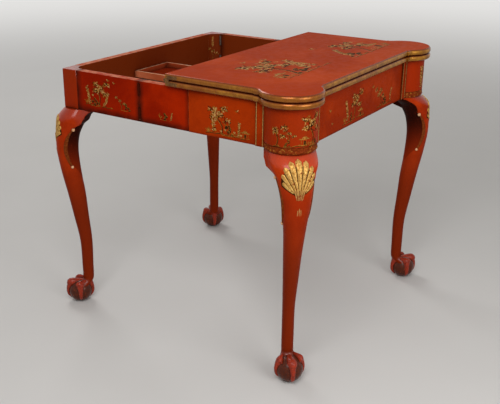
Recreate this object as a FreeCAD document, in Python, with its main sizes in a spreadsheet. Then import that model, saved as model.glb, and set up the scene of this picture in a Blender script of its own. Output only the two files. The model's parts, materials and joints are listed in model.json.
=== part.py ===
import FreeCAD, Part
import Sketcher
import os
import re

# Card table with a concertina action, in millimetres.
# +X is to the right, +Y to the rear and +Z up. The origin is on the floor, midway between
# the front feet and the rear feet. The table stands as it does half set up: the rear frame
# is drawn out on its hinged side panels, and the two-leaf top is still folded over the front.

SIZES = {
    # Whole table
    "height": 720,
    "frame_width": 684,
    "frame_depth": 712,
    "rail_height": 105,
    "rail_thick": 22,
    # Folding top
    "leaf_thick": 16,
    "leaf_overhang": 12,
    "leaf_nose": 6.5,
    "leaf_gap": 0.1,
    "hinge_plane_gap": 0.25,
    "ear_radius": 75,
    "ear_cove": 12,
    "baize_margin": 62,
    "baize_recess": 2,
    "baize_thick": 1.8,
    "baize_gap": 0.2,
    "dish_radius": 44,
    "dish_rim": 8,
    "dish_depth": 1.6,
    # Front corner turrets and the flat strips beside them
    "turret_radius": 61,
    "turret_inset": 31,
    "strip_width": 22,
    "strip_proud": 4,
    "tenon_length": 26,
    "tenon_thick": 10,
    "tenon_shoulder": 16,
    # Concertina sides
    "front_pivot": 236,
    "lip_length": 59,
    "lip_thick": 8,
    "lap_gap": 0.5,
    "joint_gap": 0.25,
    "moving_gap": 0.5,
    "post_width": 50,
    # Butt hinges of the sides
    "knuckle_radius": 3.5,
    "knuckle_gap": 0.4,
    "knuckle_split": 0.2,
    "hinge_height": 30,
    "hinge_width": 12,
    "hinge_plate": 1.2,
    "hinge_inset": 6,
    "pin_radius": 1.5,
    "pin_fit": 0.05,
    "open_pivot_fit": 0.3,
    # Brass hinges on the ends of the top
    "leaf_hinge_radius": 5,
    "leaf_hinge_gap": 0.4,
    "leaf_hinge_length": 30,
    "leaf_hinge_height": 8,
    "leaf_hinge_plate": 2,
    "leaf_hinge_arm": 6,
    "leaf_hinge_eye": 3.8,
    "leaf_hinge_split": 0.2,
    "leaf_pin_radius": 2,
    # Inside of the front frame
    "cross_rail_height": 17,
    "cross_rail_setback": 9,
    "block_size": 24,
    "block_length": 60,
    "front_block_spread": 300,
    "side_block_setback": 160,
    "screw_radius": 2.2,
    "screw_head_radius": 4.5,
    "screw_head_height": 3,
    "screw_bite": 9,
    "screw_fit": 0.05,
    # Counter tray and its bearers
    "tray_width": 150,
    "tray_length": 185,
    "tray_top_drop": 53,
    "tray_depth": 18,
    "tray_wall": 6,
    "tray_floor": 4,
    "tray_groove": 2,
    "bearer_width": 18,
    "bearer_depth": 12,
    "bearer_spread": 90,
    "bearer_nose": 12,
    "bearer_tenon": 10,
    # Where the feet stand, from the faces of the frame
    "front_foot_out": 9,
    "front_foot_side_out": 7.5,
    "rear_foot_in": 5.5,
    "rear_foot_side_in": 5,
    # Cabriole: sections across the leg, each with its centre out along the corner's diagonal
    # from the foot's centre, and its half width and half depth. Heights from knee to ankle are
    # shares of the way up from the ankle.
    "head_step": 3,
    "rear_head_wide": 40,
    "rear_head_deep": 34.5,
    "brow_drop": 23,
    "front_brow_out": -17.5,
    "front_brow_wide": 54,
    "front_brow_deep": 44,
    "rear_brow_out": -14,
    "rear_brow_wide": 48,
    "rear_brow_deep": 41,
    "crest_drop": 48,
    "crest_out": -2.5,
    "crest_wide": 46.5,
    "crest_deep": 37.5,
    "knee_drop": 78,
    "knee_out": 5,
    "knee_wide": 39,
    "knee_deep": 32,
    "garter_share": 0.894,
    "garter_out": 8,
    "garter_wide": 33,
    "garter_deep": 29.3,
    "calf_share": 0.744,
    "calf_out": 2.5,
    "calf_wide": 26.3,
    "calf_deep": 27,
    "shin_share": 0.57,
    "shin_out": -8.5,
    "shin_wide": 21.8,
    "shin_deep": 24.6,
    "taper_share": 0.405,
    "taper_out": -16.5,
    "taper_wide": 18.7,
    "taper_deep": 21,
    "slim_share": 0.2,
    "slim_out": -26,
    "slim_wide": 15.2,
    "slim_deep": 17.2,
    "ankle_height": 110,
    "ankle_out": -26.7,
    "ankle_wide": 15.2,
    "ankle_deep": 16.2,
    "flare_height": 82,
    "flare_out": -22.5,
    "flare_wide": 19.5,
    "flare_deep": 19.5,
    "instep_height": 64,
    "instep_out": -10,
    "instep_wide": 26,
    "instep_deep": 26,
    "web_height": 51,
    "web_out": -3,
    "web_wide": 28,
    "web_deep": 28,
    # Claw and ball: each toe starts on the ankle and is bent over the ball, its centre line a
    # little outside it. Angles are measured up from the level of the ball's centre.
    "ball_radius": 33.5,
    "ball_flat_angle": 70,
    "toe_stand": 2.5,
    "side_toe_stand": -1.5,
    "toe_root_height": 97,
    "toe_root_reach": 7,
    "toe_root_tilt": 25,
    "toe_root_radius": 8,
    "toe_bend_angle": 58,
    "toe_bend_radius": 9.5,
    "toe_back_angle": 33,
    "toe_back_radius": 8,
    "toe_joint_angle": 8,
    "toe_joint_radius": 9.5,
    "toe_end_angle": -18,
    "toe_end_radius": 7.5,
    "claw_tip_angle": -46,
    "claw_tip_radius": 3,
    # Knee brackets under the rails
    "bracket_reach": 157,
    "bracket_radius": 120,
    "bracket_back": 4,
    "bracket_height": 62,
    "bracket_thick": 8,
    "bracket_setback": 2,
    "rear_bracket_run": 100,
    # Blocks glued to the front of the rear legs, which carry the knee's swell past the post
    "knee_block_reach": 40,
    "knee_block_height": 60,
}

doc = FreeCAD.newDocument("card_table")
sheet = doc.addObject("Spreadsheet::Sheet", "Sizes")
for row, (alias, size) in enumerate(SIZES.items(), start=1):
    sheet.set(f"A{row}", alias)
    sheet.set(f"B{row}", str(size))
    sheet.setAlias(f"B{row}", alias)
doc.recompute()

# Places that several pieces share, as expressions in the named sizes
HALF_WIDTH = "(frame_width / 2)"
INNER_FACE = f"({HALF_WIDTH} - rail_thick)"
FRONT = "((rear_foot_in + front_foot_out - frame_depth) / 2)"
REAR = f"({FRONT} + frame_depth)"
RAIL_TOP = "(height - 2 * leaf_thick)"
RAIL_BOTTOM = f"({RAIL_TOP} - rail_height)"
RAIL_SPAN = (RAIL_BOTTOM, RAIL_TOP)
MOVING_SPAN = (f"({RAIL_BOTTOM} + moving_gap)", f"({RAIL_TOP} - moving_gap)")
REAR_HEAD = f"({RAIL_BOTTOM} - moving_gap)"
EDGE_X = f"({HALF_WIDTH} + leaf_overhang)"
HINGE_Y = f"({FRONT} + frame_depth / 2)"
HINGE_Z = "(height - leaf_thick)"
LOWER_LEAF = (RAIL_TOP, f"({HINGE_Z} - leaf_gap)")
UPPER_LEAF = (f"({HINGE_Z} + leaf_gap)", "height")
FRONT_PIVOT = f"({FRONT} + front_pivot)"
REAR_PIVOT = f"({REAR} - post_width)"
MIDDLE_PIVOT = f"(({FRONT_PIVOT} + {REAR_PIVOT}) / 2)"
LIP_END = f"({FRONT_PIVOT} + lip_length)"
TURRET_X = f"({HALF_WIDTH} - turret_inset)"
TURRET_Y = f"({FRONT} + turret_inset)"
# Where a turret's round meets the face of the strip beside it, from the frame's own corner
STRIP_START = "(turret_inset + sqrt(turret_radius^2 - (turret_inset + strip_proud)^2))"
TRAY_TOP = f"({RAIL_TOP} - tray_top_drop)"
TRAY_BOTTOM = f"({TRAY_TOP} - tray_depth)"
TRAY_REAR = f"({REAR} - rail_thick)"
TRAY_FRONT = f"({TRAY_REAR} - tray_length)"
LEFT, RIGHT = -1, 1
AT_FRONT, AT_REAR = -1, 1
SIDE_NAMES = {LEFT: "left", RIGHT: "right"}

# Edges shorter than this upright count as level, and places closer than this as the same
TINY = 0.001

sub_parts = []


# Helpers: pieces bound to the sheet

def bound(text):
    """The expression with each named size looked up in the sheet."""
    def cell(found):
        word = found.group(0)
        return f"Sizes.{word}" if word in SIZES else word
    return re.sub(r"[a-z]\w*", cell, str(text))


def place(piece, x, y, z):
    for axis, text in zip("xyz", (x, y, z)):
        piece.setExpression(f"Placement.Base.{axis}", bound(text))


def length(ends):
    return bound(f"{ends[1]} - {ends[0]}")


def span(side, near, far):
    """Low and high X of a stretch that lies from near to far on one side of the table."""
    if side == RIGHT:
        return f"({near})", f"({far})"
    return f"(-({far}))", f"(-({near}))"


def around(middle, width):
    """Low and high ends of a stretch that is centred on a place."""
    return f"({middle} - {width} / 2)", f"({middle} + {width} / 2)"


def sub_part(piece, label):
    piece.Label = label
    sub_parts.append(piece)
    return piece


def box(x, y, z):
    """A board between low and high ends along each axis."""
    board = doc.addObject("Part::Box", "Board")
    for name, ends in (("Length", x), ("Width", y), ("Height", z)):
        board.setExpression(name, length(ends))
    place(board, x[0], y[0], z[0])
    return board


def bar(radius, x, y, z):
    """A round bar along the one axis that is given as low and high ends."""
    piece = doc.addObject("Part::Cylinder", "Bar")
    piece.setExpression("Radius", bound(radius))
    turns = ((FreeCAD.Vector(0, 1, 0), 90), (FreeCAD.Vector(1, 0, 0), -90),
             (FreeCAD.Vector(0, 0, 1), 0))
    start = []
    for place_or_ends, (axis, angle) in zip((x, y, z), turns):
        if isinstance(place_or_ends, tuple):
            piece.setExpression("Height", length(place_or_ends))
            piece.Placement = FreeCAD.Placement(FreeCAD.Vector(), FreeCAD.Rotation(axis, angle))
            start.append(place_or_ends[0])
        else:
            start.append(place_or_ends)
    place(piece, *start)
    return piece


def fuse(*pieces):
    joined = doc.addObject("Part::MultiFuse", "Joined")
    joined.Shapes = list(pieces)
    joined.Refine = True
    return joined


def cut(base, *tools):
    """The base with each tool cut away in turn."""
    for tool in tools:
        worked = doc.addObject("Part::Cut", "Worked")
        worked.Base = base
        worked.Tool = tool
        base = worked
    return base


def common(*pieces):
    shared = doc.addObject("Part::MultiCommon", "Shared")
    shared.Shapes = list(pieces)
    return shared


def group(*pieces):
    """Like pieces that share one node."""
    together = doc.addObject("Part::Compound", "Group")
    together.Links = list(pieces)
    return together


def plan_sketch(body, height):
    """An empty sketch in plan, at a height above the floor."""
    drawing = body.newObject("Sketcher::SketchObject", "Plan")
    plane = next(feature for feature in body.Origin.OriginFeatures if feature.Role == "XY_Plane")
    drawing.AttachmentSupport = [(plane, "")]
    drawing.MapMode = "FlatFace"
    drawing.setExpression("AttachmentOffset.Base.z", bound(height))
    return drawing


def dimension(drawing, kind, *reference, text):
    """A sketch dimension whose value comes from the sheet."""
    number = drawing.addConstraint(Sketcher.Constraint(kind, *reference, 1.0))
    drawing.setExpression(f"Constraints[{number}]", bound(text))


def draw_rectangle(drawing, x, y):
    corners = [FreeCAD.Vector(*corner, 0) for corner in ((0, 0), (1, 0), (1, 1), (0, 1))]
    for number, way in enumerate(("Horizontal", "Vertical", "Horizontal", "Vertical")):
        drawing.addGeometry(Part.LineSegment(corners[number], corners[(number + 1) % 4]), False)
        drawing.addConstraint(Sketcher.Constraint(way, number))
    for number in range(4):
        drawing.addConstraint(Sketcher.Constraint("Coincident", number, 2, (number + 1) % 4, 1))
    for line, ends in ((0, 0), (2, 1)):
        dimension(drawing, "DistanceX", -1, 1, line, 1, text=x[ends])
        dimension(drawing, "DistanceY", -1, 1, line, 1, text=y[ends])


def draw_circle(drawing, x, y, radius):
    drawing.addGeometry(Part.Circle(FreeCAD.Vector(1, 1, 0), FreeCAD.Vector(0, 0, 1), 1), False)
    dimension(drawing, "Radius", 0, text=radius)
    dimension(drawing, "DistanceX", -1, 1, 0, 3, text=x)
    dimension(drawing, "DistanceY", -1, 1, 0, 3, text=y)


def feature(body, kind, drawing, depth):
    step = body.newObject(f"PartDesign::{kind}", kind)
    step.Profile = drawing
    step.setExpression("Length", bound(depth))
    return step


def fillet(body, edges, radius):
    """Rounds the edges of the body's last step."""
    step = body.newObject("PartDesign::Fillet", "Fillet")
    step.Base = (body.Group[-2], edges)
    step.setExpression("Radius", bound(radius))
    doc.recompute()
    return step


def edge_names(shape, wanted):
    return [f"Edge{number}" for number, edge in enumerate(shape.Edges, start=1) if wanted(edge)]


# Legs: a cabriole lofted through ovals, on a ball held by four toes

def foot_centre(end):
    if end == AT_FRONT:
        return f"({HALF_WIDTH} + front_foot_side_out)", f"({FRONT} - front_foot_out)"
    return f"({HALF_WIDTH} - rear_foot_side_in)", f"({REAR} - rear_foot_in)"


def leg_point(side, end, out, across="0"):
    """A place out along the corner's diagonal from the foot's centre, and across it."""
    x, y = foot_centre(end)
    return (f"({side} * ({x} + ({out}) / sqrt(2)) - {end} * ({across}) / sqrt(2))",
            f"({y} + {end} * ({out}) / sqrt(2) + {side} * ({across}) / sqrt(2))")


def oval(side, end, x, y, z, wide, deep):
    """A level section of a leg, widest across the corner's diagonal."""
    section = doc.addObject("Part::Ellipse", "Oval")
    section.setExpression("MajorRadius", bound(f"max({wide}; {deep})"))
    section.setExpression("MinorRadius", bound(f"min({wide}; {deep})"))
    across = -45 if side == end else 45
    section.Placement = FreeCAD.Placement(
        FreeCAD.Vector(), FreeCAD.Rotation(FreeCAD.Vector(0, 0, 1), across))
    place(section, x, y, z)
    return section


def loft(sections):
    solid = doc.addObject("Part::Loft", "Loft")
    solid.Sections = sections
    solid.Solid = True
    solid.Ruled = True
    return solid


def halfway(before, start, stop, after):
    """The middle of a smooth curve from start to stop, which goes on to before and after."""
    return f"((9 * ({start} + {stop}) - ({before} + {after})) / 16)"


def cabriole(side, end):
    """The curved leg from the bottom of its post to the top of the ball."""
    knee_z = f"({RAIL_BOTTOM} - knee_drop)"
    if end == AT_FRONT:
        where = "front"
        stations = [(f"{side} * {TURRET_X}", TURRET_Y, RAIL_BOTTOM, "(turret_radius - head_step)",
                     "(turret_radius - head_step)")]
    else:
        where = "rear"
        stations = [(f"{side} * ({HALF_WIDTH} - post_width / 2)", f"({REAR} - post_width / 2)", REAR_HEAD,
                     "rear_head_wide", "rear_head_deep")]
    heights = {f"{where}_brow": f"({RAIL_BOTTOM} - brow_drop)", "crest": f"({RAIL_BOTTOM} - crest_drop)",
               "knee": knee_z}
    for name in ("garter", "calf", "shin", "taper", "slim"):
        heights[name] = f"(ankle_height + {name}_share * ({knee_z} - ankle_height))"
    for name in ("ankle", "flare", "instep", "web"):
        heights[name] = f"{name}_height"
    for name, z in heights.items():
        stations.append((*leg_point(side, end, f"{name}_out"), z, f"{name}_wide", f"{name}_deep"))
    sections = [oval(side, end, *stations[0])]
    last = len(stations) - 1
    for number in range(last):
        four = [stations[min(max(number + step, 0), last)] for step in (-1, 0, 1, 2)]
        sections.append(oval(side, end, *[halfway(*values) for values in zip(*four)]))
        sections.append(oval(side, end, *stations[number + 1]))
    return loft(sections)


def ring(radius, x, y, z, axis, angle):
    """A round section, tilted from the level about an axis."""
    section = doc.addObject("Part::Circle", "Ring")
    section.setExpression("Radius", bound(radius))
    section.Placement = FreeCAD.Placement(FreeCAD.Vector(), FreeCAD.Rotation(axis, 1))
    section.setExpression("Placement.Rotation.Angle", bound(f"({angle}) * 1 deg"))
    place(section, x, y, z)
    return section


BALL_HEIGHT = "(ball_radius * sin(ball_flat_angle * 1 deg))"


def toe(side, end, out, across):
    """One toe of the claw, from the ankle down over the ball. Out and across give its way."""
    way = FreeCAD.Vector(side * out - end * across, end * out + side * across, 0)
    axis = way.cross(FreeCAD.Vector(0, 0, 1))
    x, y = leg_point(side, end, f"ankle_out + {out} * toe_root_reach", f"{across} * toe_root_reach")
    sections = [ring("toe_root_radius", x, y, "toe_root_height", axis, "toe_root_tilt")]
    bend = f"(ball_radius + {'side_toe_stand' if across else 'toe_stand'})"
    for name in ("toe_bend", "toe_back", "toe_joint", "toe_end", "claw_tip"):
        reach = f"{bend} * cos({name}_angle * 1 deg)"
        x, y = leg_point(side, end, f"{out} * {reach}", f"{across} * {reach}")
        z = f"{BALL_HEIGHT} + {bend} * sin({name}_angle * 1 deg)"
        sections.append(ring(f"{name}_radius", x, y, z, axis, f"{name}_angle"))
    return loft(sections)


def claw_and_ball(side, end):
    ball = doc.addObject("Part::Sphere", "Ball")
    ball.setExpression("Radius", bound("ball_radius"))
    ball.setExpression("Angle1", bound("-ball_flat_angle"))
    x, y = leg_point(side, end, "0")
    place(ball, x, y, BALL_HEIGHT)
    return [ball] + [toe(side, end, out, across) for out, across in ((1, 0), (0, 1), (-1, 0), (0, -1))]


# Front frame

def turret(side):
    return bar("turret_radius", f"{side} * {TURRET_X}", TURRET_Y, RAIL_SPAN)


TENON_SPAN = (f"({RAIL_BOTTOM} + tenon_shoulder)", f"({RAIL_TOP} - tenon_shoulder)")


def side_tenon(side):
    return box(span(side, f"{HALF_WIDTH} - (rail_thick + tenon_thick) / 2",
                    f"{HALF_WIDTH} - (rail_thick - tenon_thick) / 2"),
               (f"({FRONT} + {STRIP_START} - tenon_length)", f"({FRONT} + {STRIP_START} + strip_width)"),
               TENON_SPAN)


def front_tenon(side):
    return box(span(side, f"{HALF_WIDTH} - {STRIP_START} - strip_width",
                    f"{HALF_WIDTH} - {STRIP_START} + tenon_length"),
               around(f"({FRONT} + rail_thick / 2)", "tenon_thick"), TENON_SPAN)


front_cabrioles = {}
for side, name in SIDE_NAMES.items():
    front_cabrioles[side] = cabriole(side, AT_FRONT)
    whole = fuse(turret(side), front_cabrioles[side], *claw_and_ball(side, AT_FRONT))
    sub_part(cut(whole, side_tenon(side), front_tenon(side)), f"front_{name}_leg")

rail = box((f"(-{TURRET_X})", TURRET_X), (FRONT, f"({FRONT} + rail_thick)"), RAIL_SPAN)
rail = cut(rail, turret(LEFT), turret(RIGHT))
sub_part(fuse(rail, front_tenon(LEFT), front_tenon(RIGHT)), "front_rail")

strips = []
for side in SIDE_NAMES:
    beside = box(span(side, HALF_WIDTH, f"{HALF_WIDTH} + strip_proud"),
                 (f"({FRONT} + {STRIP_START})", f"({FRONT} + {STRIP_START} + strip_width)"), RAIL_SPAN)
    before = box(span(side, f"{HALF_WIDTH} - {STRIP_START} - strip_width", f"{HALF_WIDTH} - {STRIP_START}"),
                 (f"({FRONT} - strip_proud)", FRONT), RAIL_SPAN)
    strips += [cut(beside, turret(side)), cut(before, turret(side))]
sub_part(group(*strips), "corner_strips")

# A bracket is a thin ear of the knee, behind the face of the frame. It runs along under the rail
# from the corner, and its hollow sweeps down to the knee.
BRACKET_SPAN = (f"({RAIL_BOTTOM} - bracket_height)", RAIL_BOTTOM)
BRACKET_CENTRE = f"({RAIL_BOTTOM} - bracket_radius + bracket_back)"
BRACKET_FACE = f"({HALF_WIDTH} - bracket_setback)"
BRACKET_DEPTH = (f"{BRACKET_FACE} - bracket_thick", BRACKET_FACE)
brackets = []
for side in SIDE_NAMES:
    before = (f"({FRONT} + bracket_setback)", f"({FRONT} + bracket_setback + bracket_thick)")
    under_front = box(span(side, f"{HALF_WIDTH} - {STRIP_START} - strip_width", TURRET_X), before, BRACKET_SPAN)
    front_hollow = bar("bracket_radius", f"{side} * ({HALF_WIDTH} - bracket_reach)", before, BRACKET_CENTRE)
    under_side = box(span(side, *BRACKET_DEPTH), (TURRET_Y, f"({FRONT} + {STRIP_START})"), BRACKET_SPAN)
    side_hollow = bar("bracket_radius", span(side, *BRACKET_DEPTH), f"({FRONT} + bracket_reach)",
                      BRACKET_CENTRE)
    brackets.append(cut(under_front, front_hollow, front_cabrioles[side]))
    brackets.append(cut(under_side, side_hollow, front_cabrioles[side]))
sub_part(group(*brackets), "front_knee_brackets")

CROSS_RAIL_REAR = f"({FRONT_PIVOT} - cross_rail_setback)"
cross_rail = box((f"(-{INNER_FACE})", INNER_FACE), (f"({CROSS_RAIL_REAR} - rail_thick)", CROSS_RAIL_REAR),
                 (RAIL_BOTTOM, f"({RAIL_BOTTOM} + cross_rail_height)"))
sub_part(cross_rail, "cross_rail")


# Butt hinges, let into the meeting ends of the side boards

def butt_hinges(side, pivot_x, pivot_y, way, fit):
    """The two hinges of one joint: front leaves, rear leaves, pins, and the cuts that seat them.
    Way is 1 where the leaves run outwards from the pin, and -1 where they run inwards."""
    def reach(start, stop):
        if way == 1:
            return span(side, f"{pivot_x} + {start}", f"{pivot_x} + {stop}")
        return span(side, f"{pivot_x} - {stop}", f"{pivot_x} - {start}")
    axis_x = f"{side} * {pivot_x}"
    clear = "(knuckle_radius + knuckle_gap)"
    front_y = (f"({pivot_y} - joint_gap - hinge_plate)", f"({pivot_y} - joint_gap)")
    rear_y = (f"({pivot_y} + joint_gap)", f"({pivot_y} + joint_gap + hinge_plate)")
    fronts, rears, pins, front_seats, rear_seats = [], [], [], [], []
    for low in (f"({MOVING_SPAN[0]} + hinge_inset)", f"({MOVING_SPAN[1]} - hinge_inset - hinge_height)"):
        high = f"({low} + hinge_height)"
        lower_half = (low, f"({low} + (hinge_height - knuckle_split) / 2)")
        upper_half = (f"({low} + (hinge_height + knuckle_split) / 2)", high)
        well = (f"({low} - knuckle_gap)", f"({high} + knuckle_gap)")
        bore = bar(f"pin_radius + {fit}", axis_x, pivot_y, (low, high))
        for y, half, leaves, seats in ((front_y, lower_half, fronts, front_seats),
                                       (rear_y, upper_half, rears, rear_seats)):
            plate = box(reach(clear, "hinge_width"), y, (low, high))
            tab = box(reach("0", clear), y, half)
            knuckle = bar("knuckle_radius", axis_x, pivot_y, half)
            leaves.append(cut(fuse(plate, tab, knuckle), bore))
            seats.append(box(reach("0", "hinge_width"), y, (low, high)))
            seats.append(bar(clear, axis_x, pivot_y, well))
        pins.append(bar("pin_radius", axis_x, pivot_y, (low, high)))
    return group(*fronts), group(*rears), group(*pins), front_seats, rear_seats


rear_post_seats = {}
for side, name in SIDE_NAMES.items():
    joints = (("front", INNER_FACE, FRONT_PIVOT, 1, "pin_fit"),
              ("middle", HALF_WIDTH, MIDDLE_PIVOT, -1, "pin_fit"),
              ("rear", INNER_FACE, REAR_PIVOT, 1, "pin_fit" if side == LEFT else "open_pivot_fit"))
    seats = {}
    for joint, pivot_x, pivot_y, way, fit in joints:
        fronts, rears, pins, *seats[joint] = butt_hinges(side, pivot_x, pivot_y, way, fit)
        sub_part(fronts, f"{name}_{joint}_hinge_front_leaves")
        sub_part(rears, f"{name}_{joint}_hinge_rear_leaves")
        sub_part(pins, f"{name}_{joint}_hinge_pins")
    rear_post_seats[side] = seats["rear"][1]

    # Fixed side rail, with a thin lip that laps over the front panel's tongue
    full = span(side, INNER_FACE, HALF_WIDTH)
    rail = box(full, (TURRET_Y, f"({FRONT_PIVOT} - joint_gap)"), RAIL_SPAN)
    lip = box(span(side, f"{HALF_WIDTH} - lip_thick", HALF_WIDTH),
              (f"({FRONT_PIVOT} - joint_gap)", LIP_END), RAIL_SPAN)
    rail = fuse(cut(rail, turret(side)), side_tenon(side), lip)
    sub_part(cut(rail, *seats["front"][0]), f"{name}_side_rail")

    # Hinged panels
    shoulder = f"({LIP_END} + lap_gap)"
    tongue = box(span(side, INNER_FACE, f"{HALF_WIDTH} - lip_thick - lap_gap"),
                 (f"({FRONT_PIVOT} + joint_gap)", shoulder), MOVING_SPAN)
    panel = fuse(tongue, box(full, (shoulder, f"({MIDDLE_PIVOT} - joint_gap)"), MOVING_SPAN))
    sub_part(cut(panel, *seats["front"][1], *seats["middle"][0]), f"{name}_front_panel")
    panel = box(full, (f"({MIDDLE_PIVOT} + joint_gap)", f"({REAR_PIVOT} - joint_gap)"), MOVING_SPAN)
    sub_part(cut(panel, *seats["middle"][1], *seats["rear"][0]), f"{name}_rear_panel")


# Rear frame

def rear_tenon(side):
    return box(span(side, f"{HALF_WIDTH} - post_width", f"{HALF_WIDTH} - post_width + tenon_length"),
               around(f"({REAR} - rail_thick / 2)", "tenon_thick"), TENON_SPAN)


def bearer(side):
    return box(around(f"({side} * bearer_spread / 2)", "bearer_width"),
               (f"({TRAY_FRONT} - bearer_nose)", f"({TRAY_REAR} + bearer_tenon)"),
               (f"({TRAY_BOTTOM} - bearer_depth)", TRAY_BOTTOM))


def knee_block_zone(side):
    """The space in front of a rear post's face, under the swing of the side panels."""
    face = f"({REAR_PIVOT} + joint_gap)"
    across = span(side, f"{HALF_WIDTH} - post_width - knee_block_reach", f"{HALF_WIDTH} + knee_block_reach")
    return box(across, (f"({face} - knee_block_reach)", face),
               (f"({REAR_HEAD} - knee_block_height)", REAR_HEAD))


rear_brackets, knee_blocks = [], []
for side, name in SIDE_NAMES.items():
    post_span = (REAR_HEAD, MOVING_SPAN[1])
    post = box(span(side, f"{HALF_WIDTH} - post_width", HALF_WIDTH),
               (f"({REAR_PIVOT} + joint_gap)", REAR), post_span)
    hollow = bar("post_width - rail_thick", f"{side} * ({HALF_WIDTH} - post_width)", REAR_PIVOT, post_span)
    curved = cabriole(side, AT_REAR)
    knee_blocks.append(common(curved, knee_block_zone(side)))
    whole = fuse(cut(post, hollow), cut(curved, knee_block_zone(side)), *claw_and_ball(side, AT_REAR))
    sub_part(cut(whole, rear_tenon(side), *rear_post_seats[side]), f"rear_{name}_leg")
    behind = (f"({REAR} - bracket_setback - bracket_thick)", f"({REAR} - bracket_setback)")
    under_rail = box(span(side, f"{HALF_WIDTH} - rear_bracket_run", f"{HALF_WIDTH} - post_width"), behind,
                     BRACKET_SPAN)
    rail_hollow = bar("bracket_radius", f"{side} * ({HALF_WIDTH} - bracket_reach)", behind, BRACKET_CENTRE)
    under_panel = box(span(side, *BRACKET_DEPTH), (f"({REAR} - rear_bracket_run)", REAR_PIVOT),
                      (f"({RAIL_BOTTOM} - bracket_height)", REAR_HEAD))
    panel_hollow = bar("bracket_radius", span(side, *BRACKET_DEPTH), f"({REAR} - bracket_reach)",
                       BRACKET_CENTRE)
    rear_brackets.append(cut(under_rail, rail_hollow, curved))
    rear_brackets.append(cut(under_panel, panel_hollow, curved))
sub_part(group(*rear_brackets), "rear_knee_brackets")
sub_part(group(*knee_blocks), "rear_knee_blocks")

rail = box((f"(post_width - {HALF_WIDTH})", f"({HALF_WIDTH} - post_width)"), (TRAY_REAR, REAR),
           (RAIL_BOTTOM, MOVING_SPAN[1]))
rail = fuse(rail, rear_tenon(LEFT), rear_tenon(RIGHT))
sub_part(cut(rail, bearer(LEFT), bearer(RIGHT)), "rear_rail")
sub_part(group(bearer(LEFT), bearer(RIGHT)), "tray_bearers")

# Counter tray: a floor let into grooves in four walls
HALF_TRAY = "(tray_width / 2)"
TRAY_SPAN = (TRAY_BOTTOM, TRAY_TOP)
INSIDE_TRAY = f"({HALF_TRAY} - tray_wall)"


def tray_floor():
    return box((f"(-{INSIDE_TRAY} - tray_groove)", f"({INSIDE_TRAY} + tray_groove)"),
               (f"({TRAY_FRONT} + tray_wall - tray_groove)", f"({TRAY_REAR} - tray_wall + tray_groove)"),
               (TRAY_BOTTOM, f"({TRAY_BOTTOM} + tray_floor)"))


sub_part(tray_floor(), "tray_bottom")
for side, name in SIDE_NAMES.items():
    wall = box(span(side, INSIDE_TRAY, HALF_TRAY), (TRAY_FRONT, TRAY_REAR), TRAY_SPAN)
    sub_part(cut(wall, tray_floor()), f"tray_{name}_wall")
tray_ends = {"front": (TRAY_FRONT, f"({TRAY_FRONT} + tray_wall)"),
             "rear": (f"({TRAY_REAR} - tray_wall)", TRAY_REAR)}
for name, y in tray_ends.items():
    wall = box((f"(-{INSIDE_TRAY})", INSIDE_TRAY), y, TRAY_SPAN)
    sub_part(cut(wall, tray_floor()), f"tray_{name}_wall")


# Folding top

def leaf_hinge(side, eye, low, high, arm_low, arm_high):
    """One half of a brass hinge: a plate let into the leaf's end, an arm and an eye."""
    plate_rear = f"({HINGE_Y} - leaf_hinge_radius - leaf_hinge_gap)"
    arm_front = f"({plate_rear} - leaf_hinge_arm)"
    plate = box(span(side, f"{EDGE_X} - leaf_hinge_plate", EDGE_X),
                (f"({plate_rear} - leaf_hinge_length)", plate_rear), (low, high))
    cheek = box(span(side, eye[0], EDGE_X), (arm_front, plate_rear), (arm_low, arm_high))
    arm = box(span(side, *eye), (arm_front, HINGE_Y), (arm_low, arm_high))
    ring = bar("leaf_hinge_radius", span(side, *eye), HINGE_Y, HINGE_Z)
    bore = bar("leaf_pin_radius + pin_fit", span(side, *eye), HINGE_Y, HINGE_Z)
    return cut(fuse(plate, cheek, arm, ring), bore), [plate, cheek, arm]


OUTER_EYE = (f"({EDGE_X} - leaf_hinge_eye)", EDGE_X)
INNER_EYE = (f"({EDGE_X} - 2 * leaf_hinge_eye - leaf_hinge_split)",
             f"({EDGE_X} - leaf_hinge_eye - leaf_hinge_split)")
lower_plates, upper_plates, leaf_pins, lower_seats, upper_seats = [], [], [], [], []
for side in SIDE_NAMES:
    middle = f"({RAIL_TOP} + leaf_thick / 2)"
    plate, seats = leaf_hinge(side, OUTER_EYE, *around(middle, "leaf_hinge_height"), middle, LOWER_LEAF[1])
    lower_plates.append(plate)
    lower_seats += seats
    middle = f"({HINGE_Z} + leaf_thick / 2)"
    plate, seats = leaf_hinge(side, INNER_EYE, *around(middle, "leaf_hinge_height"), UPPER_LEAF[0], middle)
    upper_plates.append(plate)
    upper_seats += seats
    both_eyes = span(side, INNER_EYE[0], EDGE_X)
    leaf_pins.append(bar("leaf_pin_radius", both_eyes, HINGE_Y, HINGE_Z))
    clearance = bar("leaf_hinge_radius + leaf_hinge_gap",
                    span(side, f"{INNER_EYE[0]} - leaf_hinge_gap", EDGE_X), HINGE_Y, HINGE_Z)
    lower_seats.append(clearance)
    upper_seats.append(clearance)
sub_part(group(*lower_plates), "leaf_hinge_lower_plates")
sub_part(group(*upper_plates), "leaf_hinge_upper_plates")
sub_part(group(*leaf_pins), "leaf_hinge_pins")


# Blocks inside the rails, and the screws through them that hold the lower leaf

def block_places():
    setback = f"({FRONT} + side_block_setback)"
    for side in SIDE_NAMES:
        yield (around(f"({side} * front_block_spread / 2)", "block_length"),
               (f"({FRONT} + rail_thick)", f"({FRONT} + rail_thick + block_size)"),
               f"{side} * front_block_spread / 2", f"({FRONT} + rail_thick + block_size / 2)")
        yield (span(side, f"{INNER_FACE} - block_size", INNER_FACE), around(setback, "block_length"),
               f"{side} * ({INNER_FACE} - block_size / 2)", setback)


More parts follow.
